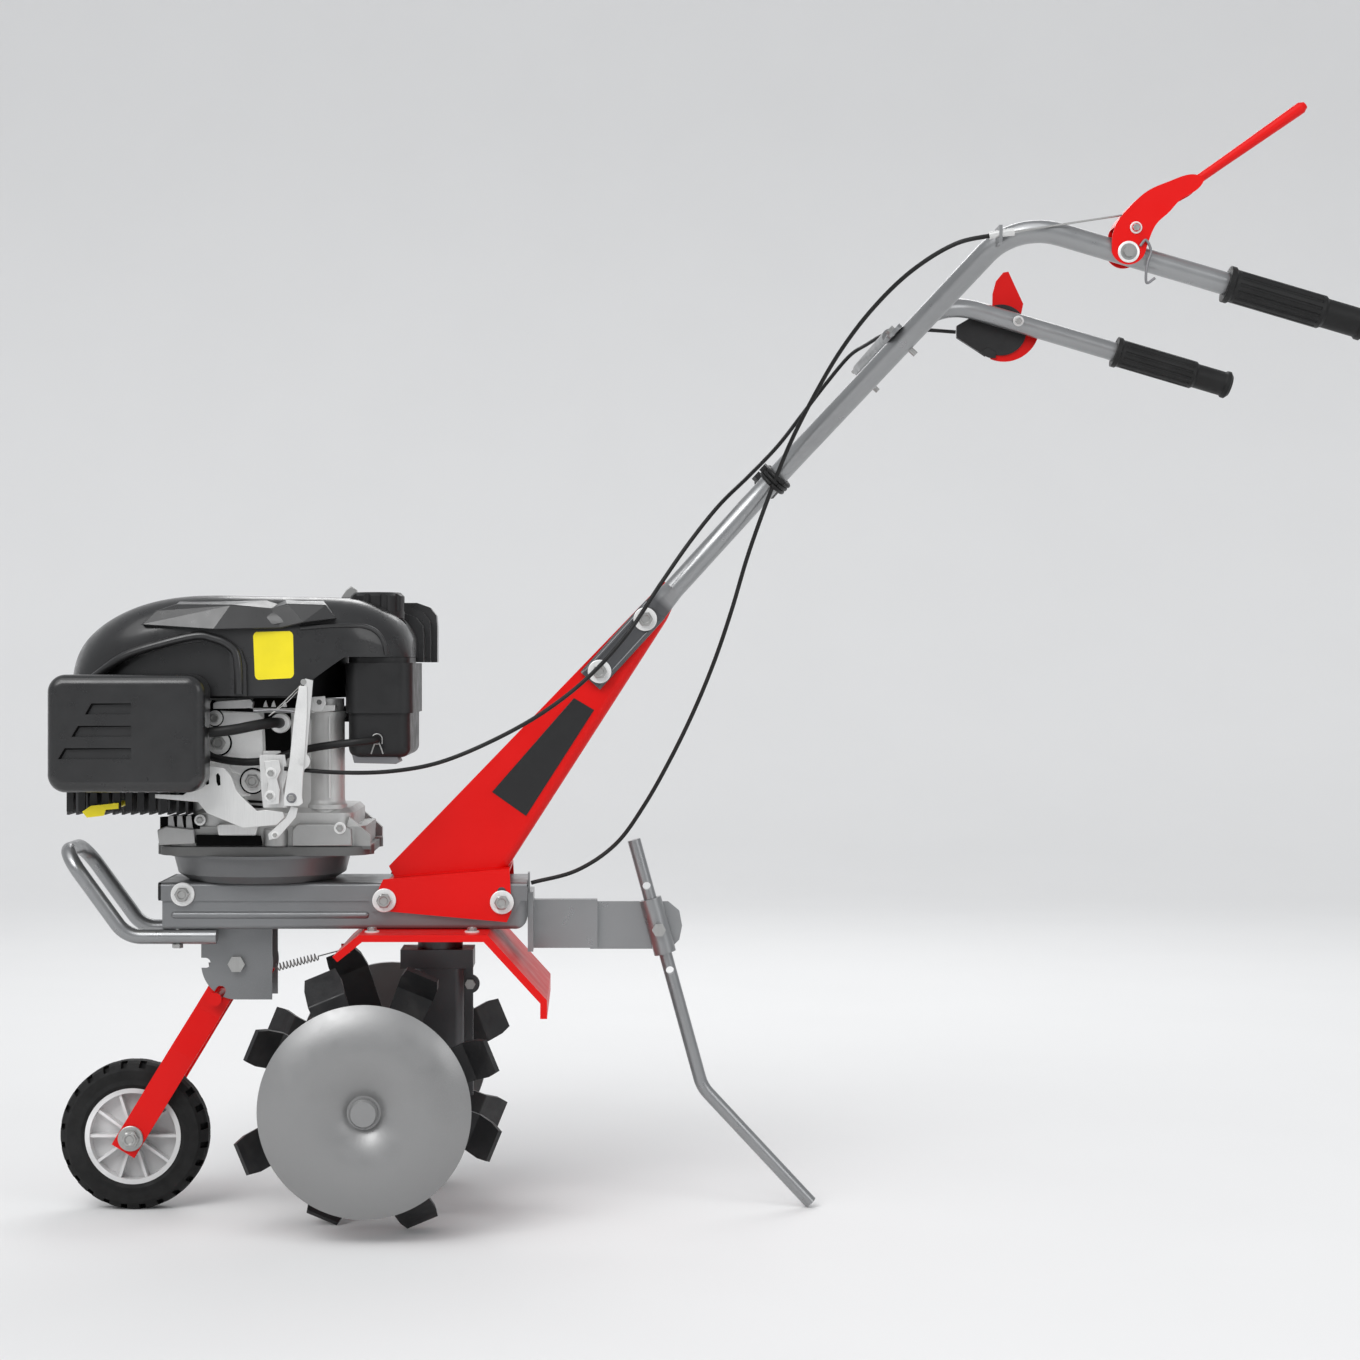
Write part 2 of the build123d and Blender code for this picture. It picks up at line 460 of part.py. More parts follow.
TURNS = 5
thread_h = TURNS * LEAD
thread_in = WORM_PITCH_R - DEDENDUM
flank = math.tan(math.radians(20))
half_mid = (LEAD / 2 - BACKLASH) / 2
tooth = [(-1, -half_mid - (DEDENDUM + 1) * flank), (DEDENDUM + ADDENDUM, -half_mid + ADDENDUM * flank),
         (DEDENDUM + ADDENDUM, half_mid - ADDENDUM * flank), (-1, half_mid + (DEDENDUM + 1) * flank)]
helix = Helix(pitch=LEAD, height=thread_h, radius=thread_in)
tooth_plane = Plane(origin=(thread_in, 0, 0), x_dir=(1, 0, 0), z_dir=(0, -1, 0))
thread = sweep(tooth_plane * Polygon(*tooth, align=None), path=helix, is_frenet=True)
thread_z0 = AXLE_Z - thread_h / 2
MESH_TURN = 180.0
worm = Pos(WORM_X, 0, thread_z0) * Rot(0, 0, MESH_TURN) * thread
worm += pin_z(WORM_X, 0, thread_z0 - 7, thread_z0 + thread_h + 7, thread_in + 0.2)
worm += pin_z(WORM_X, 0, SHAFT_BOTTOM, SHAFT_TOP, SHAFT_R)
parts["worm_shaft"] = worm

wheel = Cylinder(WHEEL_PITCH_R - DEDENDUM + 0.4, FACE) + Cylinder(AXLE_R + 8, 2 * CAVITY_HALF - 2)
wheel -= Cylinder(AXLE_R, 4 * FACE)
gear_half = (LEAD / 2 - BACKLASH) / 2
gear_tooth = [(-8, -gear_half - 5 * flank), (0, -gear_half), (ADDENDUM, -gear_half + ADDENDUM * flank),
              (ADDENDUM, gear_half - ADDENDUM * flank), (0, gear_half), (-8, gear_half + 5 * flank)]
one = extrude(Polygon(*gear_tooth, align=None), FACE / 2 - 0.5, both=True)
for k in range(TEETH):
    wheel += Rot(0, 0, 360 / TEETH * k) * Pos(WHEEL_PITCH_R, 0, 0) * Rot(LEAD_DEG, 0, 0) * one
parts["worm_wheel"] = Pos(AXLE_X, 0, AXLE_Z) * Rot(90, 0, 0) * wheel

# Tine rotor

axle_end = HUB_END + 12
parts["tine_axle"] = pin_y(AXLE_X, AXLE_Z, -axle_end, axle_end, AXLE_R)
bend = math.radians(BEND_DEG)
tip_len = (TINE_R - BEND_R - BLADE_T / 2 * math.sin(bend)) / math.cos(bend)


def blade(lean):
    """One blade along +X in the plane of its set, its tip bent towards lean on Z."""
    flat = [(14, -20), (60, -18), (BEND_R, -BLADE_HALF), (BEND_R, BLADE_HALF), (60, 16), (14, 18)]
    tip = [(0, -BLADE_HALF), (tip_len * 0.6, -BLADE_HALF), (tip_len, -TIP_HALF), (tip_len, TIP_HALF),
           (tip_len * 0.6, BLADE_HALF), (0, BLADE_HALF)]
    body = extrude(Polygon(*flat, align=None), BLADE_T / 2, both=True)
    body += Pos(BEND_R, 0, 0) * Rot(90, 0, 0) * Cylinder(BLADE_T / 2, 2 * BLADE_HALF)
    end = extrude(Polygon(*tip, align=None), BLADE_T / 2, both=True)
    return body + Pos(BEND_R, 0, 0) * Rot(0, -lean * BEND_DEG, 0) * end


def tine_set(side, y, y0, y1, first, leans):
    """Hub, flange and blades; side -1 is the left, first the turn of the first blade."""
    body = Cylinder(42, BLADE_T)
    for k in range(BLADES):
        body += Rot(0, 0, first + 90 * k) * blade(side * leans[k % 2])
    body = Rot(-90, 0, 0) * body
    body = Pos(0, side * y, 0) * body
    body += pin_y(0, 0, min(side * y0, side * y1), max(side * y0, side * y1), HUB_R)
    body -= pin_y(0, 0, -300, 300, AXLE_R)
    return Pos(AXLE_X, 0, AXLE_Z) * body


def dished_sheet():
    """Section of a guard disc: one round swell from the rim to a dished centre, as (radius, y)."""
    y, t = HUB_END, DISC_T
    front = [Line((CAP_HUB_R - 1, y + 5), (17, y + 5)),
             ThreePointArc((17, y + 5), (60, y + 17), (DISC_R, y + 3))]
    back = [Line((DISC_R, y + 3), (DISC_R - 0.6, y + 3 - t)),
            ThreePointArc((DISC_R - 0.6, y + 3 - t), (60, y + 17 - t), (17.6, y + 5 - t)),
            Line((17.6, y + 5 - t), (CAP_HUB_R - 1, y + 5 - t)),
            Line((CAP_HUB_R - 1, y + 5 - t), (CAP_HUB_R - 1, y + 5))]
    return make_face(front + back)


for side, name in ((-1, "left"), (1, "right")):
    parts["tines_inner_" + name] = tine_set(side, INNER_Y, HUB_START, HUB_SPLIT, STEP, (1, 1))
    parts["tines_outer_" + name] = tine_set(side, OUTER_Y, HUB_SPLIT, HUB_END, -STEP, (1, -1))
    guard = Pos(AXLE_X, 0, AXLE_Z) * Rot(-90, 0, 0) * revolve(Plane.XZ * dished_sheet(), Axis.Z)
    guard = guard if side > 0 else mirror(guard, Plane.XZ)
    hub_cap = [(AXLE_R, HUB_END), (CAP_HUB_R, HUB_END), (CAP_HUB_R, HUB_END + 12),
               (CAP_HUB_R - 2, HUB_END + 15), (0, HUB_END + 15), (0, axle_end), (AXLE_R, axle_end)]
    guard += turned_y(hub_cap, AXLE_X, AXLE_Z, 0, side)
    parts["guard_disc_" + name] = guard

# Belt drive


def pulley(x, r, bore, z0, z1):
    """Grooved pulley with a hub."""
    groove = r - BELT_W - BELT_LOW - 0.5
    mid = (PULLEY_Z0 + PULLEY_Z1) / 2
    pts = [(bore, z0), (bore + 7, z0), (bore + 7, PULLEY_Z0), (r, PULLEY_Z0), (r, PULLEY_Z0 + 2.5),
           (groove, mid - BELT_H / 2 - 0.4), (groove, mid + BELT_H / 2 + 0.4), (r, PULLEY_Z1 - 2.5),
           (r, PULLEY_Z1), (bore, PULLEY_Z1)]
    body = revolved(pts)
    return Pos(x, 0, 0) * body


def loop(r0, r1):
    """Outline of a belt round both shafts."""
    reach = WORM_X - CRANK_X
    lean = math.asin((r1 - r0) / reach)
    s, c = math.sin(lean), math.cos(lean)
    a, b = (CRANK_X - r0 * s, r0 * c), (WORM_X - r1 * s, r1 * c)
    wire = [Line(a, b), ThreePointArc(b, (WORM_X + r1, 0), (b[0], -b[1])),
            Line((b[0], -b[1]), (a[0], -a[1])), ThreePointArc((a[0], -a[1]), (CRANK_X - r0, 0), a)]
    return make_face(wire)


parts["drive_pulley"] = pulley(CRANK_X, DRIVE_R, CRANK_R, PULLEY_Z0 - 4, PULLEY_Z1)
parts["driven_pulley"] = pulley(WORM_X, DRIVEN_R, SHAFT_R, PULLEY_Z0 - 4, PULLEY_Z1)
belt_out = (DRIVE_R - BELT_LOW, DRIVEN_R - BELT_LOW)
belt_face = loop(*belt_out) - loop(belt_out[0] - BELT_W, belt_out[1] - BELT_W)
belt_z = (PULLEY_Z0 + PULLEY_Z1 - BELT_H) / 2
parts["drive_belt"] = Pos(0, 0, belt_z) * extrude(belt_face, BELT_H)
arm_line = Vector(*IDLER_ROLLER) - Vector(*IDLER_PIVOT)
arm_mid = (Vector(*IDLER_ROLLER) + Vector(*IDLER_PIVOT)) * 0.5
arm_turn = math.degrees(math.atan2(arm_line.Y, arm_line.X))
arm = Pos(arm_mid.X, arm_mid.Y, 312) * Rot(0, 0, arm_turn) * Box(arm_line.length, 14, 4)
arm += pin_z(*IDLER_PIVOT, 310, 330, IDLER_PIN_R + 4)
arm += pin_z(*IDLER_ROLLER, 310, 317, 7)
arm += pin_z(*IDLER_ROLLER, 316, 338, IDLER_R)
arm -= pin_z(*IDLER_PIVOT, 300, 350, IDLER_PIN_R + RUN)
parts["idler_arm"] = arm

# Engine

pan_side = PAN_R - 6
pan_pts = [(40, FRAME_TOP + SLIP), (PAN_FOOT_R, FRAME_TOP + SLIP), (pan_side - 5, FRAME_TOP + 8),
           (pan_side, PAN_TOP - 3), (PAN_R, PAN_TOP - 3), (PAN_R, PAN_TOP), (pan_side - 3, PAN_TOP),
           (pan_side - 8, FRAME_TOP + 10), (PAN_FOOT_R - 1, FRAME_TOP + SLIP + SHEET),
           (40, FRAME_TOP + SLIP + SHEET)]
parts["engine_pan"] = Pos(CRANK_X, 0, 0) * revolved(pan_pts)
base = block(-539, -319, -88, 88, BASE_Z0, BASE_Z0 + 9)
base = fillet(base.edges().filter_by(Axis.Z), 30)
sump = block(-530, -324, -82, 82, BASE_Z0 + 8, BASE_Z1)
base += fillet(sump.edges().filter_by(Axis.Z), 24)
shoulder = block(-505, -336, -79, 79, BASE_Z1 - 1, BASE_Z1 + 19)
shoulder = fillet(shoulder.edges().filter_by(Axis.Z), 20)
base += chamfer(shoulder.edges().group_by(Axis.Z)[-1], 5)
gusset = [(-340, BASE_Z1 + 10), (-318, BASE_Z0 + 20), (-318, BASE_Z0 + 6), (-350, BASE_Z0 + 6)]
base += both_sides(side_prism(gusset, -78, -68))
barrel = pin_z(-365.5, -60, BASE_Z1 - 1, BLOCK_TOP, 18.5)
body = block(-505, -368, -72, 72, BASE_Z1 - 1, BLOCK_TOP)
body = fillet(body.edges().filter_by(Axis.Z), 12)
crankcase = base + body + barrel
for x in (-530, -328):
    for y in (-56, 56):
        crankcase += pin_z(x, y, BASE_Z0, BASE_Z0 + 11, 12)
        crankcase -= pin_z(x, y, BASE_Z0 - 9, BASE_Z0 + 20, M8_HOLE)
crankcase -= pin_z(CRANK_X, 0, BASE_Z0 - 9, BLOCK_TOP + 9, CRANK_R + RUN)
crankcase -= pin_z(CRANK_X, 0, BASE_Z0 + 20, BLOCK_TOP - 20, 52)
parts["crankcase"] = crankcase
FIN_PITCH, FIN_T, FIN_COUNT = 9.5, 2.6, 14
cylinder = Pos(-571, 0, 482) * Rot(0, 90, 0) * Cylinder(44, 131)
for k in range(FIN_COUNT):
    x = -508 - FIN_PITCH * k
    cylinder += block(x - FIN_T, x, -76, 76, 424, 544)
cylinder += Pos(-638, 0, 482) * Rot(0, 90, 0) * Cylinder(12, 8)
parts["cylinder"] = cylinder
crank = pin_z(CRANK_X, 0, PULLEY_Z0 - 6, 604, CRANK_R)
crank += pin_z(CRANK_X, 0, 572, 600, 82)
for k in range(12):
    crank += Pos(CRANK_X, 0, 606) * Rot(0, 0, 30 * k) * Pos(62, 0, 0) * Rot(0, 0, 25) * Box(34, 3, 14)
parts["crankshaft"] = crank


def shroud_form(inset):
    """Rounded cover lofted along its length, drawn in by inset."""
    sections = []
    last = len(SHROUD_STATIONS) - 1
    for k, (x, top, half) in enumerate(SHROUD_STATIONS):
        x += inset * ((k == 0) - (k == last))
        face = RectangleRounded(2 * (half - inset), 2 * (top - inset - SHROUD_MID), SHROUD_ROUND - inset)
        sections.append(Plane(origin=(x, 0, SHROUD_MID), x_dir=(0, 1, 0), z_dir=(1, 0, 0)) * face)
    return loft(sections)


arch = [(-594, 570), (-560, 588), (-519, 599), (-483, 605), (-466, 601), (-458, 592), (-457, 570)]
arch_rib = [(-600, 562), (-610, 570), (-570, 590), (-529, 605), (-499, 614), (-483, 612), (-458, 604),
            (-446, 595), (-441, 580), (-440, 540), (-457, 540)]
arch_wall = [(-597, 530), (-597, 571), (-561, 591), (-519, 602), (-482, 608), (-464, 603.5), (-455, 593),
             (-454, 570), (-454, 530)]
scoops = ([(-548, 622), (-534, 634), (-515, 641), (-428, 640), (-421, 624), (-478, 617)],
          [(-425, 634), (-400, 641), (-362, 640), (-352, 628), (-398, 624), (-414, 621)])
lower_edge = [(-640, 300), (-640, 566), (-618, 562), (-560, 548), (-396, 548), (-342, 588), (-250, 588),
              (-250, 300)]
shroud_out, shroud_in = shroud_form(0), shroud_form(SHEET)
shroud = shroud_out - shroud_in
shroud += (shroud_out - shroud_form(RECESS + SHEET)) & side_prism(arch_wall, -140, -60)
shroud += (shroud_form(-RIB) - shroud_in) & side_prism(arch_rib + arch[::-1], -140, -60)
recess = arch + [(-457, 530), (-594, 530)]
shroud -= (shroud_form(-RECESS) - shroud_form(RECESS)) & side_prism(recess, -140, -60)
for scoop in scoops:
    shroud += (shroud_form(-SCOOP) - shroud_in) & side_prism(scoop, -140, -20)
shroud -= side_prism(lower_edge, -200, 200)
for k in range(16):
    grille = Rot(0, 0, 22.5 * k) * Pos(48, 0, 0) * Box(34, 7, 20)
    shroud -= Pos(CRANK_X, 0, SHROUD_TOP) * grille
shroud -= pin_z(*TANK_NECK, SHROUD_TOP - 60, SHROUD_TOP + 40, CAP_R + 2)
for k in range(3):
    x, z = -269 + 6 * k, 636 + 6 * k
    horn = [(-300, z), (x - 22, z), (x - 8, z - 5), (x - 1, z - 14), (x, z - 26), (x, 583), (x - 12, 583),
            (-300, 600)]
    shroud += side_prism(horn, 12 + 24 * k, 37 + 24 * k)
parts["engine_shroud"] = shroud
tank = block(-340, -276, -97, 60, 484, 582)
tank = fillet(tank.edges().filter_by(Axis.Z), 14)
tank = fillet(tank.edges().group_by(Axis.Z)[0], 10)
tank_lip = block(-343, -273, -100, 63, 530, 582)
tank += fillet(tank_lip.edges().filter_by(Axis.Z), 15)
tank_crown = block(-340, -276, -97, 8, 581, 587.6)
tank += fillet(tank_crown.edges().filter_by(Axis.Z), 14)
tank += pin_z(*TANK_NECK, 575, CAP_Z0 + 12, 19)
tank += block(-367.8, -338, -40, 40, 520, 536)
parts["fuel_tank"] = tank
neck_bore = 19.4
cap_pts = [(0, CAP_Z1), (CAP_R - 4, CAP_Z1), (CAP_R, CAP_Z1 - 4), (CAP_R, CAP_Z0 + 1),
           (CAP_R - 1, CAP_Z0 + 0.4), (neck_bore, CAP_Z0 + 0.4), (neck_bore, CAP_Z1 - 14), (0, CAP_Z1 - 14)]
fuel_cap = Pos(*TANK_NECK, 0) * revolved(cap_pts)
for k in range(10):
    fuel_cap -= Pos(*TANK_NECK, 0) * Rot(0, 0, 36 * k) * Pos(CAP_R + 2.5, 0, CAP_Z1) * Cylinder(5, 40)
parts["fuel_cap"] = fuel_cap

FILTER_X0, FILTER_X1, FILTER_Z0, FILTER_Z1 = -637.0, -478.0, 451.0, 570.0
FILTER_BACK, FILTER_SPLIT, FILTER_FACE = -100.0, -122.5, -165.0
filter_base = block(FILTER_X0 + 4, FILTER_X1 - 4, FILTER_SPLIT + SLIP, FILTER_BACK, FILTER_Z0 + 4, 546)
filter_base = fillet(filter_base.edges().filter_by(Axis.Y), 12)
filter_base += pin_y(-548, 498, FILTER_BACK - 1, -76.2, 24)
for k in range(9):
    x = FILTER_X0 + 12 + 12 * k
    filter_base += block(x, x + 7, -121, -115.5, FILTER_Z0 - 21, FILTER_Z0 + 8)
filter_base -= pin_y(*CHOKE, -130, -110, 3.5)
parts["air_filter_base"] = filter_base
cover = block(FILTER_X0, FILTER_X1, FILTER_FACE, FILTER_SPLIT, FILTER_Z0, FILTER_Z1)
cover = fillet(cover.edges().filter_by(Axis.Y), 18)
cover = fillet(cover.edges().group_by(Axis.Y)[0], 11)
for k in range(3):
    x, z = -591 - 13.5 * k, 541 - 22.5 * k
    vent = [(x, z), (-551, z), (-551, z - 11), (x - 6.6, z - 11)]
    cover -= side_prism(vent, FILTER_FACE - 9, FILTER_FACE + 4)
parts["air_filter_cover"] = cover
muffler = block(-560, -440, 96, 150, 455, 535)
muffler = fillet(muffler.edges().filter_by(Axis.X), 16)
for k in range(6):
    muffler -= block(-546 + 18 * k, -538 + 18 * k, 147, 160, 470, 520)
muffler += pin_y(-545, 498, 76.2, 98, 15)
parts["muffler"] = muffler
posts = ((-418.0, 464.0), (-417.0, 446.0))
shape = [(-428, 488), (-402, 488), (-399, 470), (-404, 452), (-400, 434), (-424, 434), (-426, 452)]
control = side_prism(shape, PLATE_Y, PLATE_Y + 2)
for x, z in posts:
    control += pin_y(x, z, PLATE_Y + 1, -72, 5)
    control += hex_y(x, z, PLATE_Y - 4, PLATE_Y, 10)
parts["control_plate"] = control
gov_y0, gov_y1 = -131.5, -129.5
gx, gz = GOVERNOR
arm_shape = [(-380, 566), (-372, 564), (gx + 5, gz), (-388, 438), (-398, 438), (gx - 5, gz)]
governor = side_prism(arm_shape, gov_y0, gov_y1) + pin_y(gx, gz, gov_y0, gov_y1, 9)
governor += pin_y(gx, gz, gov_y0 - 4, -62, 3)
governor -= pin_y(-393, 446, gov_y0 - 9, gov_y1 + 9, 1.5)
parts["governor_arm"] = governor
parts["crankcase"] -= pin_y(gx, gz, -90, -60, 3 + RUN)
cx, cz = CHOKE
choke = pin_y(cx, cz, -127, -76.3, 3)
tab = [(cx + 4, cz + 3), (cx + 4, cz - 3), (cx - 9, cz - 4), (cx - 11, cz - 10), (cx - 28, cz - 12),
       (cx - 33, cz - 6), (cx - 24, cz)]
choke += side_prism(tab, -127, -124)
parts["choke_lever"] = choke
parts["breather_hose"] = hose("breather_hose", [(-477.2, -135, 511), (-446, -135, 514), (-418, -128, 521),
                                                (-400, -105, 526), (-399, -72.3, 526)], 5.4)
parts["fuel_hose"] = hose("fuel_hose", [(-309, -97.6, 503.5), (-310, -113, 503), (-328, -119, 501),
                                        (-353, -113, 498), (-376, -102, 494.5), (-398, -94.5, 489),
                                        (-419, -93.5, 481.5), (-442, -92, 479), (-468, -90, 481),
                                        (-494, -88, 488), (-522, -88, 497)], 4.0)

# Column on its slotted foot

PL_TOP = [(-309, 350), (-306, column_line(-306)), (-174, column_line(-174)), (-172, 322), (-177, 311),
          (-298, 322), (-311, 326), (-314, 338)]
foot = side_prism(PL_TOP, -PLATE_OUT, -PLATE_IN)
foot = fillet(foot.edges().filter_by(Axis.Y).group_by(Axis.X)[-1], 4)
tilt = math.atan2(SLOT_BOLT[1] - TILT_PIVOT[1], SLOT_BOLT[0] - TILT_PIVOT[0])
slot_r = math.hypot(SLOT_BOLT[0] - TILT_PIVOT[0], SLOT_BOLT[1] - TILT_PIVOT[1])
for k in range(7):
    turn = tilt + math.radians(k * 0.9 - 0.2)
    at = (TILT_PIVOT[0] + slot_r * math.cos(turn), TILT_PIVOT[1] + slot_r * math.sin(turn))
    foot -= pin_y(*at, -PLATE_OUT - 9, 0, M8_HOLE + 0.3)
foot -= pin_y(*TILT_PIVOT, -PLATE_OUT - 9, 0, M8_HOLE)
top_plate = [(-300, column_line(-300) - FOOT_T), (-300, column_line(-300)), (-174, column_line(-174)),
             (-174, column_line(-174) - FOOT_T)]
foot = both_sides(foot) + side_prism(top_plate, -PLATE_OUT, PLATE_OUT)
rear_low, rear_high = (-177.0, column_line(-177.0) - 1), (-9.0, 627.0)
rear_run = math.hypot(rear_high[0] - rear_low[0], rear_high[1] - rear_low[1])
nx, nz = (rear_high[1] - rear_low[1]) / rear_run, -(rear_high[0] - rear_low[0]) / rear_run


def inward(point, d):
    """Column corner moved in from the rear edge."""
    return (point[0] - nx * d, point[1] - nz * d)


def along_rear(edge):
    """Picks the two long rear edges."""
    return abs(edge.length - rear_run) < 0.01


col = side_prism([(-296, column_line(-296) - 1), rear_low, rear_high, (4, 656), (-12, 668), (-302, 368)],
                 -COLUMN_HALF, COLUMN_HALF)
col = fillet(col.edges().filter_by(along_rear), COLUMN_BEND)
in_low, in_high = inward(rear_low, SHEET), inward(rear_high, SHEET)
space_pts = [(-340, in_low[1]), in_low, in_high, inward((4, 656), SHEET), (-12, 680), (-40, 700), (-340, 400)]
space = side_prism(space_pts, -COLUMN_HALF + SHEET, COLUMN_HALF - SHEET)
space = fillet(space.edges().filter_by(along_rear), COLUMN_BEND - SHEET)
col -= space
for x, z in TUBE_BOLTS:
    col -= pin_y(x, z, -99, 99, M8_HOLE)
parts["column"] = foot + col

# Handle tubes: round tube with its lower end pressed flat against the column

foot_dir = (Vector(TUBE_KINK[0], 0, TUBE_KINK[1]) - Vector(TUBE_FOOT[0], 0, TUBE_FOOT[1])).normalized()
across = Vector(-foot_dir.Z, 0, foot_dir.X)


def tube_plane(s, y):
    """Plane square to the tube's lower part, s from its end."""
    at = Vector(TUBE_FOOT[0], y, TUBE_FOOT[1]) + foot_dir * s
    return Plane(origin=at, x_dir=across, z_dir=foot_dir)


strap_y = -TUBE_IN_Y - STRAP_T / 2
tube_path = FilletPolyline(tube_plane(STRAP_BLEND, -TUBE_Y).origin, (TUBE_KINK[0], -TUBE_Y, TUBE_KINK[1]),
                           (TUBE_CREST[0], -HANDLE_Y, TUBE_CREST[1]),
                           (GRIP_END[0] - 5, -HANDLE_Y, grip_z(GRIP_END[0] - 5)),
                           radius=[KINK_BEND, CREST_BEND])
tube_start = tube_plane(STRAP_BLEND, -TUBE_Y)
tube = sweep(tube_start * (Circle(TUBE_R) - Circle(TUBE_R - TUBE_WALL)), path=tube_path)
strap = extrude(tube_plane(0, strap_y) * RectangleRounded(STRAP_W, STRAP_T, STRAP_T / 2 - 0.1), STRAP_LEN + 2)
for side in (-1, 1):
    ridge = Plane(origin=tube_plane(4, strap_y - STRAP_T / 2 + 1).origin + across * (side * 10.5),
                  x_dir=across, z_dir=foot_dir)
    strap += extrude(ridge * Circle(2.2), STRAP_LEN - 8)
strap -= Plane(origin=tube_plane(0, strap_y).origin, x_dir=across, z_dir=foot_dir).location * Box(99, 99, 0.5)
blend = loft([tube_plane(STRAP_LEN, strap_y) * Ellipse(STRAP_W / 2 - 0.3, STRAP_T / 2),
              tube_plane((STRAP_LEN + STRAP_BLEND) / 2, (strap_y - TUBE_Y) / 2) * Ellipse(12.4, 6.8),
              tube_plane(STRAP_BLEND, -TUBE_Y) * Circle(TUBE_R)])
left_tube = tube + strap + blend
for x, z in TUBE_BOLTS:
    left_tube -= pin_y(x, z, -99, 0, M8_HOLE)
right_tube = mirror(left_tube, Plane.XZ)
crest_run = (Vector(TUBE_CREST[0], -HANDLE_Y, TUBE_CREST[1])
             - Vector(TUBE_KINK[0], -TUBE_Y, TUBE_KINK[1])).normalized()
brace_at = [a + BRACE_SHARE * (b - a) for a, b in zip((TUBE_KINK[0], -TUBE_Y, TUBE_KINK[1]),
                                                    (TUBE_CREST[0], -HANDLE_Y, TUBE_CREST[1]))]
brace_lean = math.degrees(math.atan2(crest_run.Z, crest_run.X))
brace_off = TUBE_R + BRACE_FLAT / 2 + 0.3
to_brace = Pos(brace_at[0], 0, brace_at[2]) * Rot(0, -brace_lean, 0)
brace = Pos(0, 0, brace_off) * Rot(90, 0, 0) * Cylinder(BRACE_R, -2 * brace_at[1] - 50)
flat_end = Pos(0, brace_at[1] + 4, brace_off) * Box(2.4 * BRACE_R, 44, BRACE_FLAT)
flat_end = fillet(flat_end.edges().filter_by(Axis.Z).group_by(Axis.Y)[0], BRACE_R)
across_brace = Rot(90, 0, 0)
taper_flat = Ellipse(1.2 * BRACE_R - 0.2, BRACE_FLAT / 2)
taper = loft([Pos(0, brace_at[1] + 20, brace_off) * across_brace * taper_flat,
              Pos(0, brace_at[1] + 40, brace_off) * across_brace * Circle(BRACE_R)])
brace_hole = Pos(0, brace_at[1], 0) * Cylinder(LEVER_BOLT_R + 0.2, 60)
brace += both_sides(flat_end + taper) - both_sides(brace_hole)
brace -= both_sides(brace_hole)
parts["cross_brace"] = to_brace * brace
left_tube -= to_brace * brace_hole
right_tube -= mirror(to_brace * brace_hole, Plane.XZ)
brace_bolt = Pos(0, brace_at[1], (brace_off - 18) / 2 + 1) * Cylinder(LEVER_BOLT_R, brace_off + 20)
brace_head = extrude(RegularPolygon(5, 6), 2, both=True)
brace_bolt += Pos(0, brace_at[1], brace_off + BRACE_FLAT / 2 + 2) * brace_head
lever_z = grip_z(LEVER_X)
left_tube -= pin_y(LEVER_X, lever_z, -HANDLE_Y - 30, -HANDLE_Y + 30, LEVER_BOLT_R + 0.2)
crest_run = (Vector(TUBE_CREST[0], -HANDLE_Y, TUBE_CREST[1])
             - Vector(TUBE_KINK[0], -TUBE_Y, TUBE_KINK[1])).normalized()
stop = block(WIRE_STOP[0] - 3, WIRE_STOP[0], WIRE_Y - 3, -244, WIRE_STOP[1] - 9, WIRE_STOP[1] + 8)
bore = sweep(tube_start * Circle(TUBE_R - 0.6), path=tube_path)
stop -= bore
stop -= Pos(WIRE_STOP[0], WIRE_Y, WIRE_STOP[1]) * Rot(0, 90, 0) * Cylinder(1.6, 30)
parts["handle_tube_left"] = left_tube + stop
right_tube -= pin_y(THROTTLE_SCREW_X, grip_z(THROTTLE_SCREW_X), HANDLE_Y - 20, HANDLE_Y + 20, 3.2)
parts["handle_tube_right"] = right_tube


def grip():
    """Fluted grip along +Z, flange first."""
    pts = [(GRIP_BORE, 0), (18, 0), (18, 5), (16.2, 7), (16.2, 96), (14.2, 99), (14.2, 132), (16, 134),
           (16, 138), (12, 141.5), (0, 141.5), (0, 136.5), (GRIP_BORE, 136.5)]
    body = revolved(pts)
    for k in range(14):
        body -= Rot(0, 0, 360 / 14 * k) * Pos(16.9, 0, 51.5) * Cylinder(1.8, 82)
    return body


grip_dir = (math.cos(math.radians(GRIP_DEG)), 0, -math.sin(math.radians(GRIP_DEG)))
for side, name in ((-1, "left"), (1, "right")):
    seat = Plane(origin=(GRIP_X0, side * HANDLE_Y, grip_z(GRIP_X0)), x_dir=(0, 1, 0), z_dir=grip_dir)
    parts["grip_" + name] = seat.location * grip()

# Clutch lever, its wire and both cables

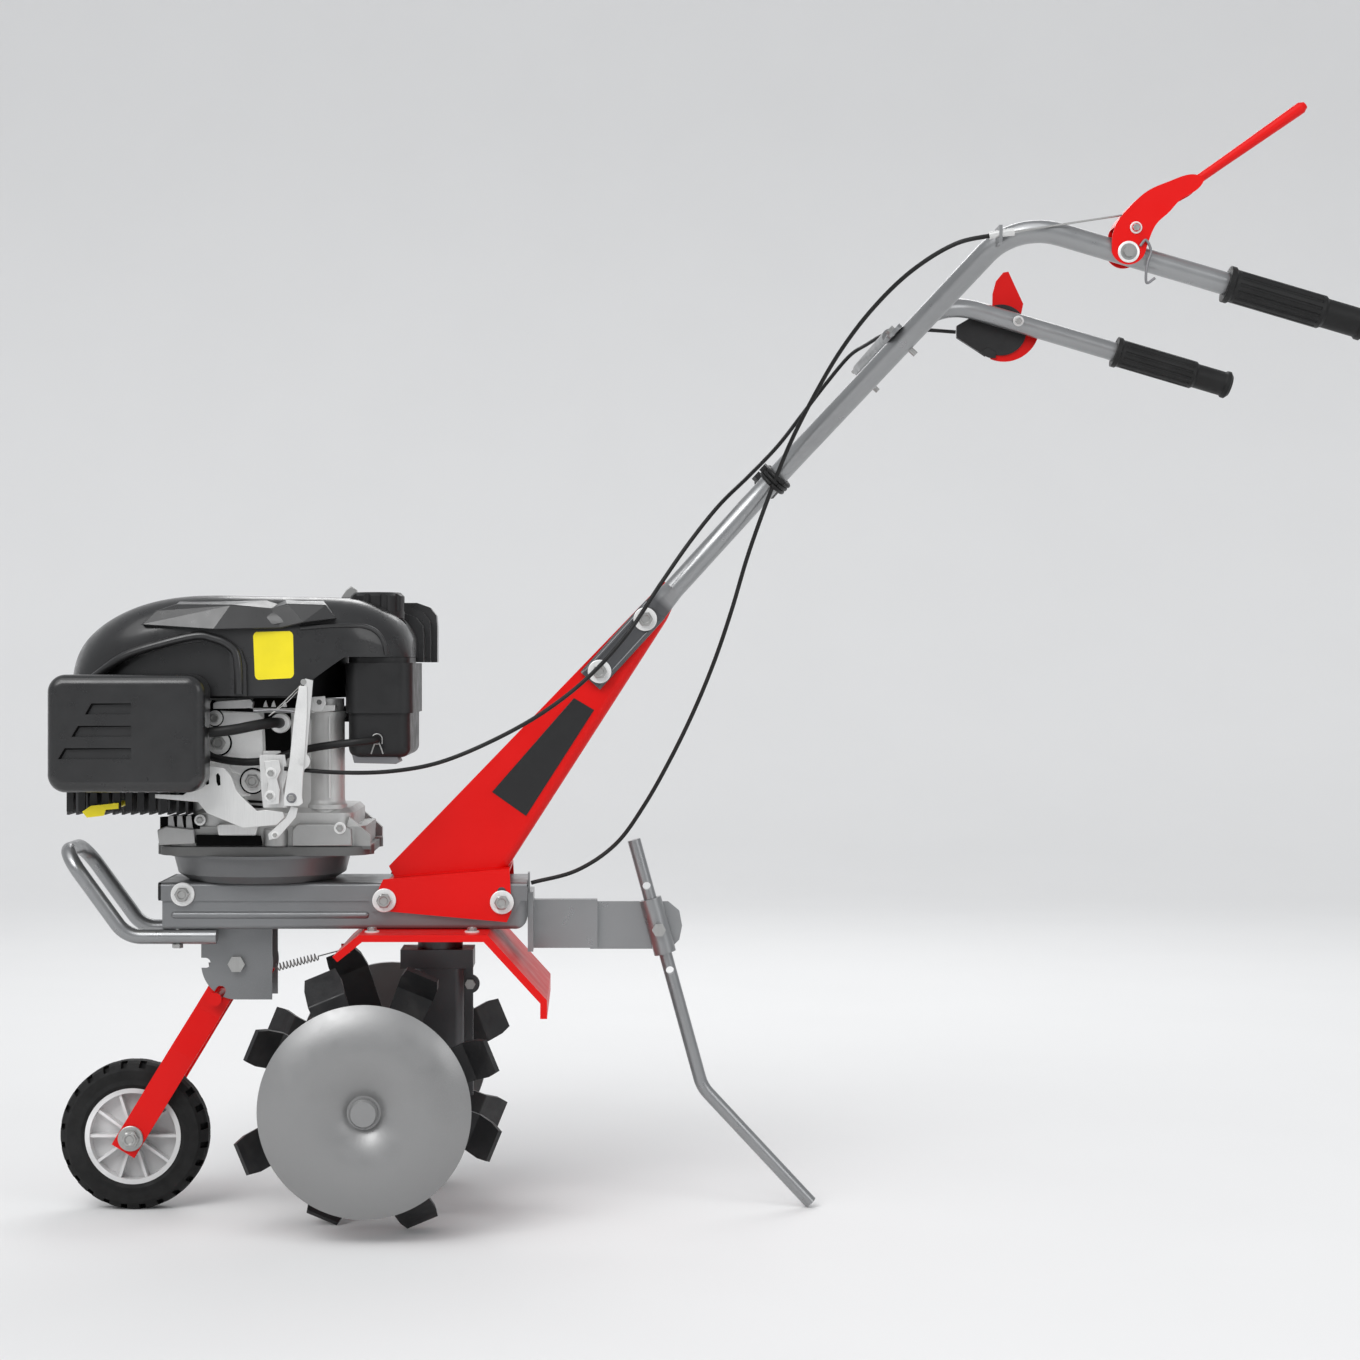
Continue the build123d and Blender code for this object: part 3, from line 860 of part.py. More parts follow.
crown = Spline((412, 988), (416, 1003), (428, 1019), (449, 1037), (468, 1045), (493, 1051), (501, 1047))
belly = Spline((501, 1047), (493, 1036), (478, 1027), (467, 1015), (456, 1005), (449, 992), (444, lever_z))
heel = ThreePointArc((444, lever_z), (LEVER_X, lever_z - 12), (412, lever_z))
lever_face = make_face([crown, belly, heel, Line((412, lever_z), (412, 988))])
lever = extrude(side_plane(-HANDLE_Y + LEVER_OUT) * lever_face, 2 * LEVER_OUT, dir=(0, -1, 0))
lever_space = [(405, 1001), (418.5, 1001), (430.5, 1016), (451, 1034.3), (469.5, 1042.3), (486, 1046.5),
               (522, 1040), (522, 1020), (470, 950), (405, 950)]
lever -= side_prism(lever_space, -HANDLE_Y - LEVER_IN, -HANDLE_Y + LEVER_IN)
rod_from, rod_to = Vector(490, -HANDLE_Y, 1043.2), Vector(600, -HANDLE_Y, 1120)
rod_plane = Plane(origin=rod_from, x_dir=(0, 1, 0), z_dir=rod_to - rod_from)
rod_len = (rod_to - rod_from).length
rod = rod_plane.location * revolved([(0, 0), (4.4, 0), (4.6, 40), (5.8, rod_len - 8), (5.8, rod_len - 3),
                                     (3.5, rod_len + 1.5), (0, rod_len + 2.5)])
lever += rod
lever += pin_y(435, 1000, -HANDLE_Y - LEVER_OUT - 3, -HANDLE_Y + LEVER_OUT + 3, 4)
lever -= pin_y(LEVER_X, lever_z, -HANDLE_Y - 30, -HANDLE_Y + 30, LEVER_BOLT_R + RUN)
wire_run = Vector(WIRE_PIN[0] - WIRE_STOP[0], WIRE_END_Y - WIRE_Y, WIRE_PIN[1] - WIRE_STOP[1])
wire_dir = wire_run.normalized()
wire_from = Vector(WIRE_STOP[0], WIRE_Y, WIRE_STOP[1]) - wire_dir * 3
wire = extrude(Plane(origin=wire_from, z_dir=wire_dir) * Circle(WIRE_R), wire_run.length - 0.8)
lever -= extrude(Plane(origin=wire_from, z_dir=wire_dir) * Circle(3 * WIRE_R), wire_run.length)
lever += pin_y(*WIRE_PIN, -HANDLE_Y - LEVER_OUT, -HANDLE_Y + LEVER_OUT, 2.5)
parts["clutch_lever"] = lever
eye = pin_y(*WIRE_PIN, WIRE_END_Y - WIRE_R, WIRE_END_Y + WIRE_R, 4.4)
eye -= pin_y(*WIRE_PIN, WIRE_END_Y - 9, WIRE_END_Y + 9, 2.9)
parts["clutch_wire"] = wire + eye
cable_end = Vector(WIRE_STOP[0], WIRE_Y, WIRE_STOP[1]) - wire_dir * 4.2
parts["clutch_cable"] = hose("clutch_cable", [
    tuple(cable_end), (262, -270, 985), (222, -248, 962), (188, -216, 930), (160, -180, 893),
    (137, -140, 852), (117, -102, 810), (101, -74, 768), (86, -68, 727), (73, -62, 688),
    (58, -56, 636), (41, -50, 585), (20, -44, 533), (-5, -38, 481), (-33, -32, 431),
    (-63, -27, 390), (-104, -23, 362), (-152.4, -20, 348.6)], CABLE_R)
parts["throttle_cable"] = hose("throttle_cable", [
    (340.8, 274.5, 973), (306, 272, 975), (276, 249, 971), (250, 214, 962), (226, 176, 946), (202, 138, 928),
    (174, 107, 895), (146, 76, 859), (114, 37, 818), (79, -10, 781), (46, -48, 748), (14, -68, 708),
    (-18, -74, 662), (-52, -79, 611), (-92, -85, 567), (-138, -95, 531), (-190, -106, 502),
    (-244, -115, 480), (-294, -121, 471),
    (-346, -125, 470), (-402, -125, 474)], CABLE_R)
tie_s = (Vector(*TUBE_KINK) - Vector(*TUBE_FOOT)).length - STRAP_BLEND
tie_plane = Plane(origin=tube_path.position_at(tie_s, position_mode=PositionMode.LENGTH), x_dir=across,
                  z_dir=tube_path.tangent_at(tie_s, position_mode=PositionMode.LENGTH))
tie = extrude(tie_plane * (Circle(TUBE_R + 3) - Circle(TUBE_R + 0.15)), 5, both=True)
tie += tie_plane.location * Pos(TUBE_R + 4, 0, 0) * Box(6, 10, 8)
parts["cable_ties"] = both_sides(tie)

# Throttle control on the right handle

tx, tz = THROTTLE
housing = pin_y(tx - 4, tz - 5, HOUSING_Y0, HOUSING_Y1, HOUSING_R)
housing += side_prism([(342, 966), (342, 980), (376, 1000), (376, 944)], HOUSING_Y0, HOUSING_Y1)
housing -= extrude(Plane(origin=(330, HANDLE_Y, grip_z(330)), x_dir=(0, 1, 0), z_dir=grip_dir)
                   * Circle(TUBE_R + 0.1), 140)
housing -= pin_y(tx, tz, DISC_Y0 - 0.4, DISC_Y1 + 0.4, THROTTLE_R + 1)
housing += pin_y(tx, tz, HOUSING_Y0, HOUSING_Y1, 4)
housing -= pin_y(THROTTLE_SCREW_X, grip_z(THROTTLE_SCREW_X), HOUSING_Y0 - 1, DISC_Y0, 3.2)
parts["throttle_housing"] = housing
thumb = [(384, 990), (384.5, 1018), (388.6, 1033), (397, 1043), (403, 1044), (408, 1033), (420.5, 1006),
         (416, 984)]
fan = [(tx - 4, tz + 6), (tx - 22, tz - 60), (tx + 70, tz - 60), (tx + 70, tz - 8)]
throttle = pin_y(tx, tz, DISC_Y0, DISC_Y1, THROTTLE_R) & side_prism(fan, DISC_Y0, DISC_Y1)
throttle += pin_y(tx, tz, DISC_Y0, DISC_Y1, 16) + side_prism(thumb, DISC_Y0, DISC_Y1)
throttle -= pin_y(tx, tz, DISC_Y0 - 9, DISC_Y1 + 9, 4.3)
parts["throttle_lever"] = throttle

# Tension spring from the fork tail to a hook under the fender

SPRING_R, SPRING_WIRE = 3.6, 0.7
spring_a = Vector(*(to_fork * Pos(*FORK_TAIL)).position)
spring_b = Vector(-351.5, 0, FENDER_TOP - 27)
spring_span = (spring_b - spring_a).length
coil_from, coil_len, coil_turns = 8.0, 46.0, 12
coil = Helix(pitch=coil_len / coil_turns, height=coil_len, radius=SPRING_R)
spring = sweep(Plane(origin=coil @ 0, z_dir=coil % 0) * Circle(SPRING_WIRE), path=coil, is_frenet=True)
for end, reach in ((0.0, -coil_from), (coil_len, spring_span - coil_from)):
    low, high = min(end, reach), max(end, reach)
    spring += Pos(SPRING_R, 0, (low + high) / 2) * Cylinder(SPRING_WIRE, high - low)
    spring += Pos(-0.4, 0, reach) * Rot(0, 90, 0) * Cylinder(SPRING_WIRE, 2 * SPRING_R + 0.8)
    spring += Pos(SPRING_R, 0, end) * Sphere(SPRING_WIRE) + Pos(SPRING_R, 0, reach) * Sphere(SPRING_WIRE)
per_turn = 16
trail = [coil @ (k / (coil_turns * per_turn)) for k in range(coil_turns * per_turn + 1)]
spring_gap = min((a - b).length for k, a in enumerate(trail) for b in trail[k + per_turn // 2:])
print("spring gap to itself", round(spring_gap - 2 * SPRING_WIRE, 2))
spring_plane = Plane(origin=spring_a, x_dir=(0, 1, 0), z_dir=spring_b - spring_a)
parts["latch_spring"] = spring_plane.location * Pos(0, 0, coil_from) * spring
hook = block(-356, -347, -2, 2, FENDER_TOP - 31, FENDER_TOP - 21)
parts["fender"] += hook - pin_y(spring_b.X, spring_b.Z, -9, 9, 1.5)

# Fasteners

bolts = both_sides(side_bolt(*FRONT_BOLT, FRAME_HALF, FRAME_HALF - tray_in))
for x, z in (TILT_PIVOT, SLOT_BOLT):
    bolts += both_sides(side_bolt(x, z, PLATE_OUT + SLIP, PLATE_OUT + SLIP - tray_in))
for side in (-1, 1):
    y = side * BUMPER_HALF
    bolts += hex_z(BUMPER_BOLT_X, y, BUMPER_Z - SLIP - BUMPER_R - 4, BUMPER_Z - SLIP - BUMPER_R, 10)
    bolts += pin_z(BUMPER_BOLT_X, y, BUMPER_Z - SLIP - BUMPER_R, FRAME_BOTTOM + SHEET + 1, 3)
    for x, fy in FENDER_BOLTS:
        bolts += hex_z(x, side * fy, FENDER_TOP - FENDER_T - 4, FENDER_TOP - FENDER_T, 10)
        bolts += pin_z(x, side * fy, FENDER_TOP - FENDER_T - 1, FRAME_BOTTOM + SHEET + 1, 3)
bolts += pin_y(PIVOT_X, PIVOT_Z, -BRACKET_HALF - 1, BRACKET_HALF + 9, PIVOT_BOLT_R)
bolts += hex_y(PIVOT_X, PIVOT_Z, -BRACKET_HALF - 7, -BRACKET_HALF, 16)
bolts += hex_y(PIVOT_X, PIVOT_Z, BRACKET_HALF, BRACKET_HALF + 8, 16)
bolts += pin_y(bolt_x, STAKE_BOLT_Z, -SLEEVE_R - 6, HITCH_Y1 + 8, M8_R)
bolts += hex_y(bolt_x, STAKE_BOLT_Z, -SLEEVE_R - 6.4, -SLEEVE_R - 0.9, M8_FLATS)
bolts += hex_y(bolt_x, STAKE_BOLT_Z, HITCH_Y1, HITCH_Y1 + 6.5, M8_FLATS)
for x, z in CASE_BOLTS:
    bolts += pin_y(x, z, -RIM_T - 3, RIM_T + 4, 3)
    bolts += hex_y(x, z, -RIM_T - 4, -RIM_T, 10) + hex_y(x, z, RIM_T, RIM_T + 4, 10)
parts["chassis_bolts"] = bolts
strap_face = TUBE_IN_Y + STRAP_T + 1.2
handle_bolts = both_sides(pin_y(*TUBE_BOLTS[0], -strap_face - WASHER_T, -strap_face, WASHER_R))
handle_bolts += both_sides(pin_y(*TUBE_BOLTS[1], -strap_face - WASHER_T, -strap_face, WASHER_R))
for x, z in TUBE_BOLTS:
    handle_bolts += pin_y(x, z, -strap_face - 3, strap_face + 10, M8_R)
    handle_bolts += hex_y(x, z, -strap_face - WASHER_T - HEAD_T, -strap_face - WASHER_T, M8_FLATS)
    handle_bolts += hex_y(x, z, strap_face + WASHER_T, strap_face + WASHER_T + 6.5, M8_FLATS)
lever_seat = LEVER_OUT + SLIP
near, far = -HANDLE_Y - lever_seat, -HANDLE_Y + lever_seat
handle_bolts += pin_y(LEVER_X, lever_z, near - 2, far + 6, LEVER_BOLT_R)
handle_bolts += pin_y(LEVER_X, lever_z, near - 1.2, near, 8)
handle_bolts += hex_y(LEVER_X, lever_z, near - 4.2, near - 1.2, 10)
handle_bolts += hex_y(LEVER_X, lever_z, far, far + 5, 10)
handle_bolts += both_sides(to_brace * brace_bolt)
throttle_screw = pin_y(THROTTLE_SCREW_X, grip_z(THROTTLE_SCREW_X), HANDLE_Y - TUBE_R - 2, DISC_Y0 - 0.9, 3)
throttle_screw += hex_y(THROTTLE_SCREW_X, grip_z(THROTTLE_SCREW_X), HANDLE_Y - TUBE_R - 3.6,
                        HANDLE_Y - TUBE_R, 10)
handle_bolts += throttle_screw
parts["handle_bolts"] = handle_bolts

# Written out with the middle of the footprint as the origin

for name, piece in parts.items():
    export_step(Pos(-MIDDLE_X, 0, 0) * piece, "parts/" + name + ".step")
print(len(parts), "pieces")
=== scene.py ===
import math
import bmesh
import bpy
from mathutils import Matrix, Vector
from mathutils.bvhtree import BVHTree


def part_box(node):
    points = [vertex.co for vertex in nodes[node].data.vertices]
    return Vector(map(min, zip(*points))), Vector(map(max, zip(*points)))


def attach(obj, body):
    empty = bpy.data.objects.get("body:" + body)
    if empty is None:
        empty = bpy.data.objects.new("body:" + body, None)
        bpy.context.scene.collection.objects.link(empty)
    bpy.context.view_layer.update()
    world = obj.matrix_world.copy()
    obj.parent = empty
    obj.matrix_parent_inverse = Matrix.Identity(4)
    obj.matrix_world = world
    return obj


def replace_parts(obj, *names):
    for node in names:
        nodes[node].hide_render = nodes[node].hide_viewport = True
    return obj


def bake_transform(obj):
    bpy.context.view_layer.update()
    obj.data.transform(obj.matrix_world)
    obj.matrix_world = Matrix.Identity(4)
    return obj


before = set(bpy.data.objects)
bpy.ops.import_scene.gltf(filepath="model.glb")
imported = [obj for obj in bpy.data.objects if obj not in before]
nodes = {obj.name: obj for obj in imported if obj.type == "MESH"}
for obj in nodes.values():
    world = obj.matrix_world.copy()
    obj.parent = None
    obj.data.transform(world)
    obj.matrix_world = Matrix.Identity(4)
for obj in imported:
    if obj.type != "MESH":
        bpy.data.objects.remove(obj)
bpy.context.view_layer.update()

# Camera, square to the left side: its distance from the middle plane, metres per pixel there, the picture's side,
# the pixel that the line of sight meets, X at the picture's left edge, the floor's pixel row and the sensor's width
EYE_Y, PIXEL, SIZE = -2.7, 0.00107, 1360.0
VIEW_X, VIEW_Y = 590.0, 670.0
LEFT_X, GROUND_Y = -0.72584, 1207.0
SENSOR = 36.0

# The solids' source is in millimetres, and its middle lies this far along X
MILLI, MIDDLE = 0.001, 4.54


def at(px, py, y):
    """Point of the model at a pixel of the photograph, on the upright plane at depth y."""
    s = -EYE_Y / (y - EYE_Y)
    x = PIXEL * (VIEW_X + (px - VIEW_X) / s) + LEFT_X
    z = PIXEL * (GROUND_Y - VIEW_Y - (py - VIEW_Y) / s)
    return Vector((x, y, z))


def in_frame(point):
    """Point of the model from a point (X, Y, Z) of the solids' source."""
    return Vector(((point[0] - MIDDLE) * MILLI, point[1] * MILLI, point[2] * MILLI))


lens = bpy.data.cameras.new("camera")
lens.sensor_width = SENSOR
lens.lens = SENSOR * (-EYE_Y / PIXEL) / SIZE
lens.shift_x = (SIZE / 2 - VIEW_X) / SIZE
lens.shift_y = (VIEW_Y - SIZE / 2) / SIZE
camera = bpy.data.objects.new("camera", lens)
camera.location = at(VIEW_X, VIEW_Y, 0.0) + Vector((0, EYE_Y, 0))
camera.rotation_euler = (math.pi / 2, 0, 0)
bpy.context.scene.collection.objects.link(camera)
bpy.context.scene.camera = camera

# Directions: towards the camera, and up
LEFT, UP = (0, -1, 0), (0, 0, 1)


# Materials

class Paint:
    """A material with its own node tree, in the part's coordinates."""

    def __init__(self, name, colour, rough, metal=0.0, **sockets):
        self.mat = bpy.data.materials.new(name)
        self.mat.use_nodes = True
        self.tree = self.mat.node_tree
        self.shader = self.tree.nodes["Principled BSDF"]
        self.shader.inputs["Base Color"].default_value = (*colour, 1)
        self.shader.inputs["Roughness"].default_value = rough
        self.shader.inputs["Metallic"].default_value = metal
        for key, value in sockets.items():
            self.shader.inputs[key.replace("_", " ")].default_value = value
        self.place = self.tree.nodes.new("ShaderNodeTexCoord").outputs["Object"]
        self.last_normal = None

    def node(self, kind, **settings):
        made = self.tree.nodes.new(kind)
        for key, value in settings.items():
            setattr(made, key, value)
        return made

    def link(self, a, b):
        self.tree.links.new(a, b)

    def noise(self, scale, detail, stretch=None):
        made = self.node("ShaderNodeTexNoise")
        made.inputs["Scale"].default_value = scale
        made.inputs["Detail"].default_value = detail
        place = self.place
        if stretch:
            grid = self.node("ShaderNodeMapping")
            grid.inputs["Scale"].default_value = stretch
            self.link(self.place, grid.inputs["Vector"])
            place = grid.outputs["Vector"]
        self.link(place, made.inputs["Vector"])
        return made.outputs["Fac"]

    def along(self, way):
        """Distance of each point along a direction."""
        made = self.node("ShaderNodeVectorMath", operation="DOT_PRODUCT")
        made.inputs[1].default_value = way
        self.link(self.place, made.inputs[0])
        return made.outputs["Value"]

    def ramp(self, source, low, high, a, b):
        made = self.node("ShaderNodeMapRange")
        for key, value in zip(("From Min", "From Max", "To Min", "To Max"), (low, high, a, b)):
            made.inputs[key].default_value = value
        self.link(source, made.inputs["Value"])
        return made.outputs["Result"]

    def tint(self, source, other, low, high):
        """Mixes another colour in as source goes from low to high."""
        mix = self.node("ShaderNodeMix", data_type="RGBA")
        socket = self.shader.inputs["Base Color"]
        if socket.is_linked:
            self.link(socket.links[0].from_socket, mix.inputs["A"])
        else:
            mix.inputs["A"].default_value = socket.default_value
        mix.inputs["B"].default_value = (*other, 1)
        self.link(self.ramp(source, low, high, 0, 1), mix.inputs["Factor"])
        self.link(mix.outputs["Result"], socket)
        return self

    def wear(self, source, a, b, low=0.3, high=0.7):
        """Roughness from a to b as source goes from low to high."""
        self.link(self.ramp(source, low, high, a, b), self.shader.inputs["Roughness"])
        return self

    def bump(self, source, strength, depth):
        made = self.node("ShaderNodeBump")
        made.inputs["Strength"].default_value = strength
        made.inputs["Distance"].default_value = depth
        self.link(source, made.inputs["Height"])
        if self.last_normal:
            self.link(self.last_normal, made.inputs["Normal"])
        self.last_normal = made.outputs["Normal"]
        self.link(self.last_normal, self.shader.inputs["Normal"])
        return self


def toned(colour, share):
    """Lighter or darker tone of a colour."""
    return tuple(share * c for c in colour)


def red_gloss(name, red=0.70):
    p = Paint(name, (red, 0.002, 0.001), 0.4,
              Specular_IOR_Level=0.22, Coat_Weight=0.06, Coat_Roughness=0.12)
    p.tint(p.noise(6, 3), (0.89 * red, 0.002, 0.001), 0.45, 0.75)
    p.wear(p.noise(40, 5), 0.34, 0.48)
    return p.bump(p.noise(900, 2), 0.05, 0.0002).mat


def silver(name, colour, metal, rough):
    p = Paint(name, colour, rough, metal)
    p.tint(p.noise(9, 4), toned(colour, 0.86), 0.45, 0.75)
    p.tint(p.noise(2600, 1), toned(colour, 1.06), 0.5, 0.7)
    p.wear(p.noise(55, 5), rough - 0.05, rough + 0.07)
    return p.bump(p.noise(1400, 2), 0.04, 0.0002).mat


# Foot of the handle tube's strap, its direction, its length, its colour, and the width of the change to silver
STRAP_FOOT, STRAP_WAY, STRAP_REACH = (-0.0945, 0, 0.563), (0.6734, 0, 0.7393), 0.113
STRAP_GREY, STRAP_FADE = (0.11, 0.112, 0.117), 0.004


def tube_paint(name, colour):
    """Silver paint that turns dark over the pressed strap at the tube's foot."""
    p = Paint(name, colour, 0.32, 0.75)
    p.tint(p.noise(9, 4), toned(colour, 0.86), 0.45, 0.75)
    end = STRAP_FOOT[0] * STRAP_WAY[0] + STRAP_FOOT[2] * STRAP_WAY[2] + STRAP_REACH
    p.tint(p.ramp(p.along(STRAP_WAY), end - STRAP_FADE, end + STRAP_FADE, 1, 0), STRAP_GREY, 0, 1)
    p.wear(p.noise(55, 5), 0.27, 0.38)
    return p.bump(p.noise(1400, 2), 0.04, 0.0002).mat


def plastic(name, colour, rough=0.4, grain=1500, depth=0.25, shine=0.36, **sockets):
    p = Paint(name, colour, rough, Specular_IOR_Level=shine, **sockets)
    p.tint(p.noise(12, 4), toned(colour, 1.5), 0.5, 0.8)
    p.wear(p.noise(70, 4), rough - 0.06, rough + 0.1)
    return p.bump(p.noise(grain, 2), depth, 0.0003).mat


def rubber(name, colour, rough=0.7):
    p = Paint(name, colour, rough, Specular_IOR_Level=0.3)
    p.tint(p.noise(25, 5), toned(colour, 2.2), 0.5, 0.85)
    p.wear(p.noise(90, 4), rough - 0.1, rough + 0.12)
    return p.bump(p.noise(800, 3), 0.3, 0.0004).mat


# Half the height over which a casting's colour changes at a step
STEP_FADE = 0.0006


def cast(name, colour, rough=0.45, metal=0.6, steps=()):
    """Cast metal; below the height of each step only that share of its colour is left."""
    p = Paint(name, colour, rough, metal)
    p.tint(p.noise(18, 5), toned(colour, 0.82), 0.45, 0.75)
    p.tint(p.noise(1500, 3), toned(colour, 0.88), 0.5, 0.75)
    for height, share in steps:
        below = p.ramp(p.along(UP), height - STEP_FADE, height + STEP_FADE, 1, 0)
        p.tint(below, toned(colour, share), 0, 1)
    p.wear(p.noise(120, 5), rough - 0.06, rough + 0.1)
    return p.bump(p.noise(1100, 4), 0.14, 0.0003).mat


def zinc(name, colour, rough=0.32, metal=0.7):
    p = Paint(name, colour, rough, metal)
    p.tint(p.noise(35, 4), toned(colour, 0.9), 0.5, 0.75)
    p.tint(p.noise(900, 2, (1, 1, 0.04)), toned(colour, 0.93), 0.45, 0.7)
    p.wear(p.noise(60, 3), rough - 0.03, rough + 0.04)
    return p.bump(p.noise(1800, 2, (1, 1, 0.05)), 0.03, 0.0002).mat


def tine_black(name):
    p = Paint(name, (0.012, 0.012, 0.013), 0.42, 0.0)
    p.tint(p.noise(30, 6), (0.035, 0.034, 0.033), 0.5, 0.8)
    p.wear(p.noise(80, 6), 0.34, 0.58)
    return p.bump(p.noise(350, 4), 0.3, 0.0005).mat


def sticker(name, colour, rough=0.35):
    p = Paint(name, colour, rough)
    p.tint(p.noise(30, 3), toned(colour, 0.9), 0.45, 0.8)
    p.wear(p.noise(200, 3), rough - 0.05, rough + 0.08)
    return p.bump(p.noise(1500, 2), 0.06, 0.0002).mat


RED = red_gloss("red_gloss_paint")
GREY = silver("grey_silver_paint", (0.31, 0.315, 0.32), 0.75, 0.31)
TUBE = tube_paint("handle_silver_paint", (0.33, 0.335, 0.34))
DISC = silver("disc_silver_paint", (0.28, 0.28, 0.28), 0.5, 0.36)
PAN = silver("pan_grey_paint", (0.15, 0.152, 0.155), 0.5, 0.36)
# Dark grey paint of the gear case, made darker still to paint the shade under the fender
CASE_PAINT_AND_SHADE = silver("gear_case_paint_and_shade", (0.075, 0.076, 0.079), 0.5, 0.38)
FRAME_GREY = silver("frame_grey_paint", (0.23, 0.235, 0.24), 0.6, 0.38)
TINE = tine_black("tine_black_paint")
ZINC = zinc("zinc_plated_steel", (0.42, 0.42, 0.41))
BRIGHT = zinc("bright_steel", (0.72, 0.72, 0.71), 0.34, 0.5)
WHITE_ZINC = zinc("white_zinc_washer", (0.82, 0.82, 0.81), 0.36, 0.3)
ALLOY = cast("cast_alloy", (0.56, 0.56, 0.55), steps=((0.412, 0.62), (0.3918, 0.25)))
ROUGH_ALLOY = cast("sand_cast_alloy", (0.40, 0.40, 0.395))
PALE = cast("machined_alloy", (0.80, 0.80, 0.79), 0.40)
# The crankcase's face and the pieces on it: a lighter, less metallic copy of the machined alloy, partly the face's own
# bright finish and partly painted light against the shade of the filter cover and governor arm
FACE = cast("case_alloy_and_painted_light", (0.95, 0.95, 0.94), 0.42, 0.2)
# Near-black, barely glossy material for dark sheets and rings that paint the shade in hollows, slots, gaps, louvres
# and round bolts
SHADE = plastic("painted_shade_black", (0.004, 0.004, 0.004), 0.8, 900, 0.1, 0.04)
# Near-black on the cylinder's aluminium fins: painted shade from the shroud and filter above them
FIN_SHADE_ALLOY = cast("fins_painted_shade", (0.07, 0.07, 0.072))
IRON = cast("machined_iron", (0.25, 0.25, 0.26))
BRONZE = cast("gear_bronze", (0.6, 0.42, 0.18))
PLASTIC = plastic("black_grained_plastic", (0.013, 0.013, 0.0135))
COVER = plastic("black_satin_plastic", (0.016, 0.016, 0.0165), 0.31, 2200, 0.1,
                Coat_Weight=0.5, Coat_Roughness=0.16)
HUB = plastic("pale_hub_plastic", (0.6, 0.6, 0.6), 0.45, 900, 0.1)
RED_PLASTIC = red_gloss("red_plastic", 0.62)
TYRE = rubber("tyre_rubber", (0.008, 0.008, 0.008))
RUBBER = rubber("soft_black_rubber", (0.008, 0.008, 0.008), 0.48)
YELLOW = sticker("blank_yellow_label", (0.86, 0.72, 0.01))
DARK = sticker("blank_dark_label", (0.009, 0.009, 0.0095))

LOOKS = {
    RED: "column fender wheel_fork clutch_lever latch_pin",
    GREY: "front_bumper hitch drag_stake cross_brace",
    TUBE: "handle_tube_left handle_tube_right",
    PAN: "engine_pan",
    FRAME_GREY: "frame_upper frame_lower wheel_bracket",
    CASE_PAINT_AND_SHADE: "gear_case_left gear_case_right gear_neck",
    DISC: "guard_disc_left guard_disc_right",
    TINE: "tines_inner_left tines_inner_right tines_outer_left tines_outer_right",
    ZINC: "tine_axle wheel_axle latch_spring chassis_bolts handle_bolts clutch_wire idler_arm "
          "muffler crankshaft",
    BRIGHT: "governor_arm control_plate",
    ALLOY: "crankcase",
    FIN_SHADE_ALLOY: "cylinder",
    IRON: "worm_shaft drive_pulley driven_pulley",
    BRONZE: "worm_wheel",
    COVER: "engine_shroud air_filter_cover",
    PLASTIC: "fuel_tank fuel_cap air_filter_base frame_end_cap throttle_housing cable_ties",
    YELLOW: "choke_lever",
    HUB: "wheel_hub",
    RED_PLASTIC: "throttle_lever",
    TYRE: "tyre",
    RUBBER: "grip_left grip_right drive_belt breather_hose fuel_hose clutch_cable throttle_cable",
}
for look, names in LOOKS.items():
    for name in names.split():
        nodes[name].data.materials.clear()
        nodes[name].data.materials.append(look)

# Pieces that the solids leave to the picture. Edges over SHARP degrees stay sharp, and an open edge counts as
# OPEN_EDGE radians.

CHASSIS, HANDLE = "chassis", "handle"
SHARP, OPEN_EDGE = 35.0, 3.2


def piece(name, points, faces, look, sharp=SHARP):
    """Mesh object with flat faces kept apart from round ones by their angle."""
    mesh = bpy.data.meshes.new(name)
    mesh.from_pydata([tuple(p) for p in points], [], faces)
    work = bmesh.new()
    work.from_mesh(mesh)
    bmesh.ops.recalc_face_normals(work, faces=work.faces)
    for edge in work.edges:
        edge.smooth = edge.calc_face_angle(OPEN_EDGE) < math.radians(sharp)
    for face in work.faces:
        face.smooth = True
    work.to_mesh(mesh)
    work.free()
    mesh.materials.append(look)
    made = bpy.data.objects.new(name, mesh)
    bpy.context.scene.collection.objects.link(made)
    return made


def soften(made, width):
    """Rounds a piece's sharp edges."""
    edge = made.modifiers.new("edge", "BEVEL")
    edge.width, edge.segments = width, 2
    edge.limit_method, edge.angle_limit = "ANGLE", math.radians(SHARP)
    return made


def plate(name, outline, y_back, look, body=CHASSIS, edge=0.0006):
    """Flat piece with the outline of its front given in points, rounded along its edges."""
    n = len(outline)
    points = outline + [Vector((p.x, y_back, p.z)) for p in outline]
    faces = [list(range(n)), list(range(2 * n - 1, n - 1, -1))]
    faces += [[k, (k + 1) % n, n + (k + 1) % n, n + k] for k in range(n)]
    made = soften(piece(name, points, faces, look), edge)
    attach(made, body)
    return made


def slab(name, pixels, y_front, y_back, look, body=CHASSIS, edge=0.0006):
    """Flat piece with its outline given in pixels of the photograph."""
    return plate(name, [at(px, py, y_front) for px, py in pixels], y_back, look, body, edge)


